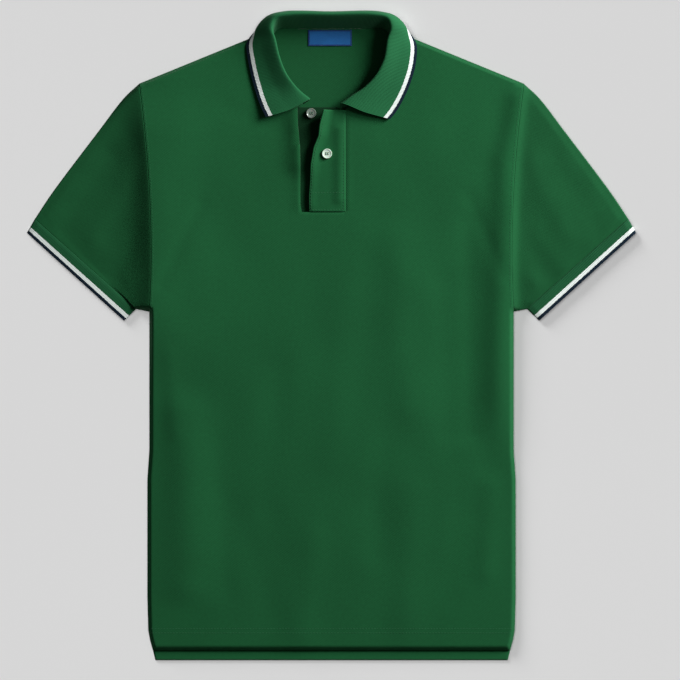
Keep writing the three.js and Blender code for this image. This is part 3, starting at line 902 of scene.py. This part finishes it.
def sleeve_piece(name, side):
    """One sleeve: a flattened tube, open at the armhole and the cuff."""
    turns = steps(0.0, 1.0, 260)
    alongs = [0.0, 0.004, 0.012, *steps(0.025, 0.975, 90), 0.988, 0.996, 1.0]
    creases = bpy.context.scene.shirt_sizes.crease

    def place(turn, along):
        start = np.stack(sleeve_place(along, np.zeros_like(along)))
        end = np.stack(sleeve_place(along, np.ones_like(along)))
        length = np.hypot(*(end - start))
        radius = EDGE_TOP / 2.0
        at, face, rise = flat_ring(turn, length, radius)
        across = at / length
        x, y = sleeve_place(along, across)
        from_armhole = np.maximum(x - row_half_width(y), 0.0)
        from_fold = np.minimum(at, length - at)
        held = ease(from_fold / SLEEVE_ROLL)
        folds = np.zeros_like(x)
        for from_along, from_across, to_along, to_across, reach, height in SLEEVE_FOLDS:
            from_x, from_y = sleeve_place(np.array(from_along), np.array(from_across))
            to_x, to_y = sleeve_place(np.array(to_along), np.array(to_across))
            share = distance_to_line(x, y, from_x, from_y, to_x, to_y) / reach
            folds = folds + height * np.exp(-(share**2))
        scale, height, seed = SLEEVE_RIPPLE
        folds = folds + ripple(x * side, y, scale, height, seed + side)
        level = SLEEVE_LOFT - SLEEVE_DROP * (0.6 if side > 0 else 1.0)
        seam_level = front_top(side * row_half_width(y), y) - EDGE_TOP
        reach, power = SLEEVE_FALLS[side]
        fall = np.exp(-((from_armhole / reach) ** power))
        away = ease(from_armhole / 30.0)
        lift = held * (level * (1.0 - fall) + folds * creases * away)
        lift = lift + ease(from_fold / 4.0) * seam_level * fall
        level_start, level_height = SLEEVE_END
        near_cuff = ease((along - level_start) / (1.0 - level_start))
        lift = lift - near_cuff * held * (lift - level_height)
        z = radius + face * radius * rise + np.where(face > 0, lift, 0.0)
        around = np.where(face > 0, at, 2.0 * length - at)
        return side * x, y, z, around, along * SLEEVE_LENGTH

    piece = cloth_mesh(name, turns, alongs, place, wrapped=True)
    face_out(piece)
    give_wall(piece, WALL * 0.93)
    return piece


def cuff_piece(name, side):
    """One rib cuff: a flattened band, with its finished edge outside."""
    turns = steps(0.0, 1.0, 280)
    alongs = [0.0, 0.03, *steps(0.08, 0.9, 12), 0.95, 0.985, 1.0]
    band = math.hypot(CUFF_EDGE[0][0] - CUFF_SEAM[0][0], CUFF_EDGE[0][1] - CUFF_SEAM[0][1])

    def place(turn, along):
        corners = [
            [seam[axis] + (edge[axis] - seam[axis]) * along for axis in range(2)]
            for seam, edge in zip(CUFF_SEAM, CUFF_EDGE)
        ]
        (top_x, top_y), (low_x, low_y) = corners
        length = np.hypot(low_x - top_x, low_y - top_y)
        radius = CUFF_EDGE_TOP / 2.0
        at, face, rise = flat_ring(turn, length, radius)
        across = at / length
        x = top_x + (low_x - top_x) * across
        y = top_y + (low_y - top_y) * across
        held = ease(np.minimum(at, length - at) / CUFF_ROLL)
        scale, height, seed = CUFF_RIPPLE
        swell = CUFF_LOFT + ripple(x * side, y, scale, height, seed + side)
        for at_share, reach, depth in CUFF_PINCHES:
            swell = swell - depth * np.exp(-(((along - at_share) / reach) ** 2))
        lift = held * swell
        z = radius + face * radius * rise + np.where(face > 0, lift, 0.0)
        around = np.where(face > 0, at, 2.0 * length - at)
        return side * x, y, z, around, (1.0 - along) * band

    piece = cloth_mesh(name, turns, alongs, place, wrapped=True)
    face_out(piece)
    give_wall(piece, RIB_WALL * 0.93)
    return piece


def face_out(piece):
    """Turns an open tube's faces outwards."""
    bm = bmesh.new()
    bm.from_mesh(piece.data)
    centre = sum((vert.co for vert in bm.verts), Vector()) / len(bm.verts)
    outward = sum(
        (face.calc_center_median() - centre).z * face.normal.z * face.calc_area() for face in bm.faces
    )
    if outward < 0.0:
        bmesh.ops.reverse_faces(bm, faces=bm.faces)
    bm.to_mesh(piece.data)
    bm.free()


class SHIRT_OT_sleeves(bpy.types.Operator):
    """Make both sleeves as flattened tubes"""

    bl_idname = "shirt.sleeves"
    bl_label = "Sleeves"

    def execute(self, context):
        for solid, side in (("sleeve_left", 1), ("sleeve_right", -1)):
            piece = sleeve_piece(solid + "_cloth", side)
            # The sleeves take the darker copy of the pique that is painted shade.
            dress(piece, solid, shirt_materials()["pique sleeve painted shade"])
        return {"FINISHED"}


class SHIRT_OT_cuffs(bpy.types.Operator):
    """Make both rib cuffs with their tipping"""

    bl_idname = "shirt.cuffs"
    bl_label = "Cuffs"

    def execute(self, context):
        for solid, side in (("cuff_left", 1), ("cuff_right", -1)):
            piece = cuff_piece(solid + "_rib", side)
            # The cuffs take the darker copy of the rib that is painted shade.
            dress(piece, solid, shirt_materials()["cuff rib painted shade"])
        return {"FINISHED"}


# Collar


class SHIRT_OT_collar(bpy.types.Operator):
    """Fold the rib collar round the neck, with its tipping"""

    bl_idname = "shirt.collar"
    bl_label = "Collar"

    def execute(self, context):
        surface = collar_surface(COLLAR_STEPS, COLLAR_PARTS)
        points = np.array([[tuple(point) for point in row] for row in surface])
        gaps = np.linalg.norm(np.diff(points, axis=1), axis=2)
        inward = np.zeros(points.shape[:2])
        inward[:, :-1] = np.cumsum(gaps[:, ::-1], axis=1)[:, ::-1]
        middle = COLLAR_PARTS // 2
        strides = np.linalg.norm(np.diff(points[:, middle], axis=0), axis=1)
        round_neck = np.concatenate([[0.0], np.cumsum(strides)])

        def place(part, step):
            column, row = np.rint(part).astype(int), np.rint(step).astype(int)
            x, y, z = points[row, column].T
            return x, y, z, round_neck[row], inward[row, column]

        piece = cloth_mesh("collar_rib", range(COLLAR_PARTS + 1), range(COLLAR_STEPS + 1), place)
        give_wall(piece, RIB_WALL * 0.96, offset=0.0, bevel=0.35)
        dress(piece, "collar", shirt_materials()["collar rib"])
        return {"FINISHED"}


# Placket


def band_piece(name, solid, low, high, left, right, top, swell, material):
    """A placket band that follows the front, with a soft crown across it."""
    def place(share, y):
        x = left(y) + (right - left(y)) * share
        crown = swell * np.minimum(ease(share / 0.12), ease((1.0 - share) / 0.12))
        return x, y, top(x, y) + crown - swell, x, y

    piece = cloth_mesh(name, steps(0.0, 1.0, 44), steps(low.y, high.y, 90), place)
    give_wall(piece, WALL)
    dress(piece, solid, shirt_materials()[material])


class SHIRT_OT_placket(bpy.types.Operator):
    """Make the two placket bands in the front's slot"""

    bl_idname = "shirt.placket"
    bl_label = "Placket"

    def execute(self, context):
        band_piece(
            "placket_upper_band", "placket_upper", UPPER_LOW, UPPER_HIGH, lambda y: placket_value(y, 1),
            UPPER_HIGH.x + UPPER_OVERLAP, upper_band_top, UPPER_SWELL, "pique knit",
        )
        # The under band takes the darker copy of the pique that is painted shade.
        band_piece(
            "placket_under_band", "placket_under", UNDER_LOW, UNDER_HIGH,
            lambda y: placket_value(y, 2) - UNDER_LAP, UNDER_HIGH.x, under_band_top, UNDER_SWELL,
            "pique underlap painted shade",
        )
        return {"FINISHED"}


# Buttons


# A button's height, rim and dish, the circle of its holes and the holes' radius
BUTTON_HEIGHT = 2.4
BUTTON_RIM = 0.9
BUTTON_DISH = 0.5
HOLE_CIRCLE = 1.6
HOLE_RADIUS = 0.72
TOP_TILT = 0.08


def button_piece(name, centre, base, tilt, radius):
    """A turned button with a rim, a dished middle and four drilled holes."""
    floor = BUTTON_HEIGHT - BUTTON_DISH
    inner = radius - BUTTON_RIM
    rings = [
        (radius - 0.6, 0.0),
        (radius - 0.15, 0.25),
        (radius, 0.75),
        (radius, 1.5),
        (radius - 0.12, 2.05),
        (radius - 0.45, BUTTON_HEIGHT),
        (inner, BUTTON_HEIGHT - 0.04),
        (inner - 0.5, BUTTON_HEIGHT - 0.28),
        (inner - 1.1, floor),
    ]
    bm = bmesh.new()
    bmesh.ops.create_circle(bm, cap_ends=True, segments=64, radius=rings[0][0] * MM)
    ring = list(bm.edges)
    for (last_r, last_z), (r, z) in zip(rings, rings[1:]):
        lifted = bmesh.ops.extrude_edge_only(bm, edges=ring)["geom"]
        verts = [item for item in lifted if isinstance(item, bmesh.types.BMVert)]
        bmesh.ops.scale(bm, verts=verts, vec=(r / last_r, r / last_r, 1.0))
        bmesh.ops.translate(bm, verts=verts, vec=(0.0, 0.0, (z - last_z) * MM))
        ring = [edge for edge in bm.edges if edge.is_boundary]
    bmesh.ops.holes_fill(bm, edges=ring, sides=0)
    bmesh.ops.recalc_face_normals(bm, faces=bm.faces)
    piece = add_piece(name, bm)
    drills = bmesh.new()
    for quarter in range(4):
        turn = (quarter + 0.5) * math.pi / 2.0
        at = Vector((HOLE_CIRCLE * math.cos(turn), HOLE_CIRCLE * math.sin(turn), 1.0)) * MM
        bmesh.ops.create_cone(
            drills, cap_ends=True, segments=20, radius1=HOLE_RADIUS * MM, radius2=HOLE_RADIUS * MM,
            depth=6.0 * MM, matrix=Matrix.Translation(at),
        )
    drill = add_piece(name + "_drill", drills)
    cut = piece.modifiers.new("Holes", "BOOLEAN")
    cut.operation = "DIFFERENCE"
    cut.solver = "EXACT"
    cut.object = drill
    settle(piece)
    bpy.data.objects.remove(drill)
    placing = Matrix.Translation(Vector((*centre, base)) * MM) @ Matrix.Rotation(tilt, 4, "Y")
    piece.data.transform(placing)
    piece.data.shade_smooth()
    piece.data.set_sharp_from_angle(angle=math.radians(38))
    return piece


def settle(piece):
    """Applies a piece's modifiers to its mesh."""
    graph = bpy.context.evaluated_depsgraph_get()
    finished = bpy.data.meshes.new_from_object(piece.evaluated_get(graph))
    old = piece.data
    piece.modifiers.clear()
    piece.data = finished
    bpy.data.meshes.remove(old)


def straight_thread(count, sides=6):
    """A round thread along Z, with a ring at each whole number and its ends closed."""
    bm = bmesh.new()
    bmesh.ops.create_cone(
        bm, cap_ends=True, segments=sides, radius1=1.0, radius2=1.0, depth=count - 1,
        matrix=Matrix.Translation((0.0, 0.0, (count - 1) / 2.0)),
    )
    for ring in range(1, count - 1):
        everything = [*bm.verts, *bm.edges, *bm.faces]
        bmesh.ops.bisect_plane(bm, geom=everything, plane_co=(0.0, 0.0, ring), plane_no=(0.0, 0.0, 1.0))
    mesh = bpy.data.meshes.new("straight thread")
    bm.to_mesh(mesh)
    bm.free()
    return mesh


def thread_frames(points, radius):
    """For each point of a thread, its place and the two radii across it, thinner at the ends."""
    frames = []
    last = len(points) - 1
    for step, point in enumerate(points):
        along = (points[min(step + 1, last)] - points[max(step - 1, 0)]).normalized()
        side = along.cross(Vector((0, 0, 1)))
        side = side.normalized() if side.length > 1e-6 else Vector((1, 0, 0))
        size = radius * (0.55 if step in (0, last) else 1.0)
        frames.append((point, side * size, side.cross(along) * size))
    return frames


def thread_piece(name, strands, radius, material):
    """Threads joined in one mesh. Each strand is a list of points in millimetres, all equally long."""
    pattern = straight_thread(len(strands[0]))
    bm = bmesh.new()
    for _ in strands:
        bm.from_mesh(pattern)
    courses = [[Vector(point) * MM for point in strand] for strand in strands]
    frames = [thread_frames(course, radius * MM) for course in courses]
    for count, vert in enumerate(bm.verts):
        point, side, up = frames[count // len(pattern.vertices)][round(vert.co.z)]
        vert.co = point + side * vert.co.y + up * vert.co.x
    bm.normal_update()
    bmesh.ops.recalc_face_normals(bm, faces=bm.faces)
    bpy.data.meshes.remove(pattern)
    piece = add_piece(name, bm)
    piece.data.shade_smooth()
    piece.data.materials.append(material)
    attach(piece, "root")


class SHIRT_OT_buttons(bpy.types.Operator):
    """Turn both buttons and sew them on"""

    bl_idname = "shirt.buttons"
    bl_label = "Buttons"

    def execute(self, context):
        made = shirt_materials()
        lower_at = (LOWER_BUTTON_LOW + LOWER_BUTTON_HIGH) / 2.0
        top_at = (TOP_BUTTON_LOW + TOP_BUTTON_HIGH) / 2.0
        radius = (LOWER_BUTTON_HIGH.x - LOWER_BUTTON_LOW.x) / 2.0
        lower_base = float(upper_band_top(lower_at.x, lower_at.y)) + GAP
        lower = button_piece("lower_button", (lower_at.x, lower_at.y), lower_base, 0.0, radius)
        dress(lower, "button_lower", made["mother of pearl"])
        top_base = TOP_BUTTON_LOW.z + radius * math.sin(TOP_TILT) - UNDER_SINK
        top = button_piece("top_button", (top_at.x, top_at.y), top_base, TOP_TILT, radius)
        # The top button takes the darker copy of the pearl that is painted shade.
        dress(top, "button_top", made["mother of pearl painted shade"])
        strands = []
        for at, base, lean in ((lower_at, lower_base, 0.0), (top_at, top_base, TOP_TILT)):
            for side in (-1.29, -0.97, 0.97, 1.29):
                points = []
                for reach, height in ((-1.13, 1.25), (-0.9, 2.2), (0.0, 2.2), (0.9, 2.2), (1.13, 1.25)):
                    points.append((at.x + side, at.y + reach, base + height - lean * side))
                strands.append(points)
        thread_piece("button_threads", strands, 0.16, made["button thread"])
        return {"FINISHED"}


# Label


class SHIRT_OT_label(bpy.types.Operator):
    """Sew the plain woven label inside the back of the neck"""

    bl_idname = "shirt.label"
    bl_label = "Label"

    def execute(self, context):
        centre = (LABEL_LOW + LABEL_HIGH) / 2.0

        def place(x, y):
            return x, y, label_top(x, y) - 0.02, x - centre.x, y - centre.y

        columns = steps(LABEL_LOW.x, LABEL_HIGH.x, 48)
        rows = steps(LABEL_LOW.y, LABEL_HIGH.y, 20)
        piece = cloth_mesh("woven_label", columns, rows, place)
        give_wall(piece, LABEL_HIGH.z - LABEL_LOW.z - 0.04, bevel=0.12)
        dress(piece, "label", shirt_materials()["woven label"])
        return {"FINISHED"}


# Stitching


def stitches_along(course, height):
    """Short threads set end to end along a course of (x, y) points, lying on a height."""
    xs, ys = np.array(course, float).T
    lengths = np.concatenate([[0.0], np.cumsum(np.hypot(np.diff(xs), np.diff(ys)))])
    count = int(lengths[-1] / STITCH["pitch"])
    middles = (np.arange(count) + 0.5) * lengths[-1] / count
    at = middles[:, None] + np.array(STITCH_SHARES) * STITCH["length"]
    x, y = np.interp(at, lengths, xs), np.interp(at, lengths, ys)
    return np.stack([x, y, height(x, y) + np.array(STITCH_LIFTS)], axis=2).tolist()


def seam_course(inset):
    """Points down the armhole seam of the +X side, inset towards the body."""
    ys = np.array(steps(UNDERARM + 4.0, SHOULDER[1] - 4.0, 80))
    return list(zip(half_width(ys) - inset, ys))


def shoulder_course(inset):
    start, end = Vector(SHOULDER), Vector(NECK_SIDE)
    along = (end - start).normalized()
    aside = Vector((-along.y, along.x)) * inset
    return [tuple(start.lerp(end, share) + aside) for share in steps(0.04, 0.8, 40)]


def flip(course):
    return [(-x, y) for x, y in course]


def label_top(x, y):
    """Height of the label's face, which bows up a little in the middle."""
    across = (x - (LABEL_LOW.x + LABEL_HIGH.x) / 2.0) / (LABEL_HIGH.x - LABEL_LOW.x)
    return LABEL_HIGH.z + LABEL_BOW * np.cos(across * math.pi)


class SHIRT_OT_stitching(bpy.types.Operator):
    """Sew the hem, armholes, shoulders, placket and label with visible stitches"""

    bl_idname = "shirt.stitching"
    bl_label = "Stitching"

    def execute(self, context):
        # The seam thread is lightened as painted light.
        thread = shirt_materials()["seam thread painted light"]
        radius = STITCH["radius"]
        strands = []
        for inset in (HEM_STITCH, HEM_STITCH + HEM_ROWS):
            y = FRONT_LOW.y + inset
            half = float(half_width(y)) - 3.0
            strands += stitches_along([(-half, y), (half, y)], front_top)
        for course in (seam_course(ARMHOLE_STITCH), shoulder_course(ARMHOLE_STITCH)):
            strands += stitches_along(course, front_top)
            strands += stitches_along(flip(course), front_top)
        thread_piece("front_stitches", strands, radius, thread)

        right = UPPER_HIGH.x - 2.2
        heights = steps(UPPER_LOW.y + EDGE_STITCH, UPPER_HIGH.y - 1.0, 60)
        left = [(float(placket_value(y, 1)) + EDGE_STITCH, y) for y in heights]
        courses = [left, [(right, heights[0]), (right, heights[-1])]]
        for inset in (EDGE_STITCH, BOX_STITCH):
            courses.append([(left[0][0], UPPER_LOW.y + inset), (right, UPPER_LOW.y + inset)])
        strands = []
        for course in courses:
            strands += stitches_along(course, upper_band_top)
        thread_piece("placket_stitches", strands, radius, thread)

        inset = 0.9
        corners = [
            (LABEL_LOW.x + inset, LABEL_LOW.y + inset), (LABEL_HIGH.x - inset, LABEL_LOW.y + inset),
            (LABEL_HIGH.x - inset, LABEL_HIGH.y - inset), (LABEL_LOW.x + inset, LABEL_HIGH.y - inset),
        ]
        strands = []
        for course in zip(corners, corners[1:] + corners[:1]):
            strands += stitches_along(course, label_top)
        thread_piece("label_stitches", strands, LABEL_THREAD, thread)
        return {"FINISHED"}


# Stage


# Lights on the shirt: compass angle and height in degrees, distance and width in metres
CHEST = (0.05, 0.22, 0.0)
NECK = (0.02, 0.25, 0.0)
KEY_LIGHT = {"azimuth": 32.0, "distance": 7.0, "width": 3.1, "target": CHEST}
OVERHEAD = {"azimuth": 20.0, "elevation": 42.0, "distance": 1.1, "width": 0.3, "target": NECK}
# Lights on the floor: compass angle, height and spread in degrees
EVEN_SUN = {"azimuth": 132.0, "elevation": 80.0, "spread": 60.0}
LOW_SUN = {"azimuth": 132.0, "elevation": 16.0, "spread": 20.0}
FLOOR_HALF = 4.0
FLOOR_LEVEL = -0.2


def place_light(
    name, strength, lit, azimuth, elevation, distance=3.0, width=None, spread=None, target=CHEST,
):
    """A soft light that shines on the objects of one collection: a disk if it has a width, else a sun.

    The azimuth runs from +X towards +Y and the elevation up from the floor, in degrees.
    """
    data = bpy.data.lights.new(name, "AREA" if width else "SUN")
    data.energy = strength
    if width:
        data.shape = "DISK"
        data.size = width
    else:
        data.angle = math.radians(spread)
    lamp = bpy.data.objects.new(name, data)
    turn, rise = math.radians(azimuth), math.radians(elevation)
    away = Vector((math.cos(turn) * math.cos(rise), math.sin(turn) * math.cos(rise), math.sin(rise)))
    lamp.location = Vector(target) + away * distance
    lamp.rotation_euler = (-away).to_track_quat("-Z", "Y").to_euler()
    lamp.light_linking.receiver_collection = lit
    bpy.context.scene.collection.objects.link(lamp)


class SHIRT_OT_stage(bpy.types.Operator):
    """Set the floor, the lights and the camera straight above"""

    bl_idname = "shirt.stage"
    bl_label = "Stage"

    def execute(self, context):
        scene = context.scene
        stage = scene.shirt_stage
        bm = bmesh.new()
        bmesh.ops.create_grid(bm, x_segments=2, y_segments=2, size=FLOOR_HALF)
        bmesh.ops.translate(bm, verts=bm.verts, vec=(0.0, 0.0, FLOOR_LEVEL * MM))
        floor = add_piece("floor", bm)
        floor.data.materials.append(floor_material("pale floor", stage.floor))

        cloth = bpy.data.collections.new("Shirt")
        for piece in scene.objects:
            if piece.type == "MESH" and piece != floor:
                cloth.objects.link(piece)
        ground = bpy.data.collections.new("Ground")
        ground.objects.link(floor)
        place_light("key", stage.key, cloth, elevation=stage.key_elevation, **KEY_LIGHT)
        place_light("overhead", stage.overhead, cloth, **OVERHEAD)
        place_light("floor", stage.floor_light, ground, **EVEN_SUN)
        place_light("floor shadow", stage.shadow_light, ground, **LOW_SUN)
        world = bpy.data.worlds.new("Soft surround")
        world.use_nodes = True
        background = world.node_tree.nodes["Background"]
        background.inputs["Color"].default_value = (1.0, 1.0, 1.0, 1.0)
        background.inputs["Strength"].default_value = stage.surround
        scene.world = world
        scene.view_settings.view_transform = "Standard"

        data = bpy.data.cameras.new("camera")
        camera = bpy.data.objects.new("camera", data)
        scene.collection.objects.link(camera)
        data.sensor_width = 36.0
        data.lens = data.sensor_width * stage.height / stage.view_width
        data.clip_end = 50.0
        camera.location = (stage.centre_x, stage.centre_y, stage.height)
        scene.camera = camera
        return {"FINISHED"}


class ShirtSizes(bpy.types.PropertyGroup):
    """Sizes of the cloth that a user may change"""

    crease: bpy.props.FloatProperty(
        name="Creases", description="How strong the cloth's soft creases are",
        default=1.4, min=0.0, max=3.0,
    )
    pique_pitch: bpy.props.FloatProperty(
        name="Pique pitch", description="Width of a pique cell in millimetres", default=1.7, min=0.5,
    )
    rib_pitch: bpy.props.FloatProperty(
        name="Rib pitch", description="Width of a rib in millimetres", default=1.6, min=0.5,
    )


class ShirtColours(bpy.types.PropertyGroup):
    """Colours of the shirt's pieces"""

    pique: bpy.props.FloatVectorProperty(
        name="Pique", description="Body and sleeve cloth",
        subtype="COLOR", size=3, default=(0.0081, 0.087, 0.0274),
    )
    rib: bpy.props.FloatVectorProperty(
        name="Rib", description="Collar and cuffs",
        subtype="COLOR", size=3, default=(0.0127, 0.112, 0.0405),
    )
    edge: bpy.props.FloatVectorProperty(
        name="Edge stripe", description="Outer stripe of the tipping", subtype="COLOR", size=3,
        default=(0.003, 0.011, 0.022),
    )
    second: bpy.props.FloatVectorProperty(
        name="Second stripe", description="Inner stripe of the tipping", subtype="COLOR", size=3,
        default=(0.72, 0.78, 0.75),
    )
    # Painted light: this thread colour is lighter than the pique, to offset the shade on the stitches.
    thread: bpy.props.FloatVectorProperty(
        name="Thread", description="Seam thread",
        subtype="COLOR", size=3, default=(0.016, 0.118, 0.045),
    )
    button_thread: bpy.props.FloatVectorProperty(
        name="Button thread", description="Thread in the buttons", subtype="COLOR", size=3,
        default=(0.03, 0.14, 0.06),
    )
    pearl: bpy.props.FloatVectorProperty(
        name="Buttons", description="Mother-of-pearl",
        subtype="COLOR", size=3, default=(0.66, 0.8, 0.68),
    )
    label: bpy.props.FloatVectorProperty(
        name="Label", description="Woven label", subtype="COLOR", size=3, default=(0.012, 0.098, 0.29),
    )
    label_border: bpy.props.FloatVectorProperty(
        name="Label border", description="Border of the label",
        subtype="COLOR", size=3, default=(0.012, 0.03, 0.15),
    )


class ShirtStage(bpy.types.PropertyGroup):
    """Light, floor and camera"""

    key: bpy.props.FloatProperty(
        name="Key", description="Key light on the shirt", default=905.0, min=0.0, unit="POWER",
    )
    key_elevation: bpy.props.FloatProperty(
        name="Key elevation", description="Height of the key light in degrees",
        default=23.0, min=5.0, max=90.0,
    )
    overhead: bpy.props.FloatProperty(
        name="Overhead", description="Light above the chest", default=4.7, min=0.0, unit="POWER",
    )
    floor_light: bpy.props.FloatProperty(
        name="Floor light", description="Even light on the floor", default=1.72, min=0.0,
    )
    shadow_light: bpy.props.FloatProperty(
        name="Shadow light", description="Low light that gives the floor its narrow shadow",
        default=2.55, min=0.0,
    )
    surround: bpy.props.FloatProperty(
        name="Surround", description="Light from all round", default=0.08, min=0.0,
    )
    floor: bpy.props.FloatVectorProperty(
        name="Floor", description="Floor colour", subtype="COLOR", size=3, default=(0.8, 0.8, 0.8),
    )
    height: bpy.props.FloatProperty(
        name="Camera height", description="Camera above the floor", default=5.0, unit="LENGTH",
    )
    view_width: bpy.props.FloatProperty(
        name="View width", description="Width that the picture spans", default=0.782, unit="LENGTH",
    )
    centre_x: bpy.props.FloatProperty(
        name="Centre X", description="Picture centre", default=0.0098, unit="LENGTH",
    )
    centre_y: bpy.props.FloatProperty(
        name="Centre Y", description="Picture centre", default=-0.0046, unit="LENGTH",
    )


OPERATORS = (
    SHIRT_OT_back, SHIRT_OT_front, SHIRT_OT_sleeves, SHIRT_OT_cuffs, SHIRT_OT_collar, SHIRT_OT_placket,
    SHIRT_OT_buttons, SHIRT_OT_label, SHIRT_OT_stitching, SHIRT_OT_stage,
)
GROUPS = {"shirt_sizes": ShirtSizes, "shirt_colours": ShirtColours, "shirt_stage": ShirtStage}


class SHIRT_PT_panel(bpy.types.Panel):
    """Lists the shirt's pieces in the sidebar"""

    bl_idname = "SHIRT_PT_panel"
    bl_label = "Polo Shirt"
    bl_space_type = "VIEW_3D"
    bl_region_type = "UI"
    bl_category = "Polo Shirt"

    def draw(self, context):
        for operator in OPERATORS:
            self.layout.operator(operator.bl_idname)
        for name, group in GROUPS.items():
            box = self.layout.box()
            for prop in group.__annotations__:
                box.prop(getattr(context.scene, name), prop)


def register():
    for made in (*GROUPS.values(), *OPERATORS, SHIRT_PT_panel):
        bpy.utils.register_class(made)
    for name, group in GROUPS.items():
        setattr(bpy.types.Scene, name, bpy.props.PointerProperty(type=group))


def unregister():
    for name in GROUPS:
        delattr(bpy.types.Scene, name)
    for made in reversed((*GROUPS.values(), *OPERATORS, SHIRT_PT_panel)):
        bpy.utils.unregister_class(made)


def main():
    register()
    bpy.ops.shirt.back()
    bpy.ops.shirt.front()
    bpy.ops.shirt.sleeves()
    bpy.ops.shirt.cuffs()
    bpy.ops.shirt.collar()
    bpy.ops.shirt.placket()
    bpy.ops.shirt.buttons()
    bpy.ops.shirt.label()
    bpy.ops.shirt.stitching()
    bpy.ops.shirt.stage()
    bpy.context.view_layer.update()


if __name__ == "__main__":
    main()
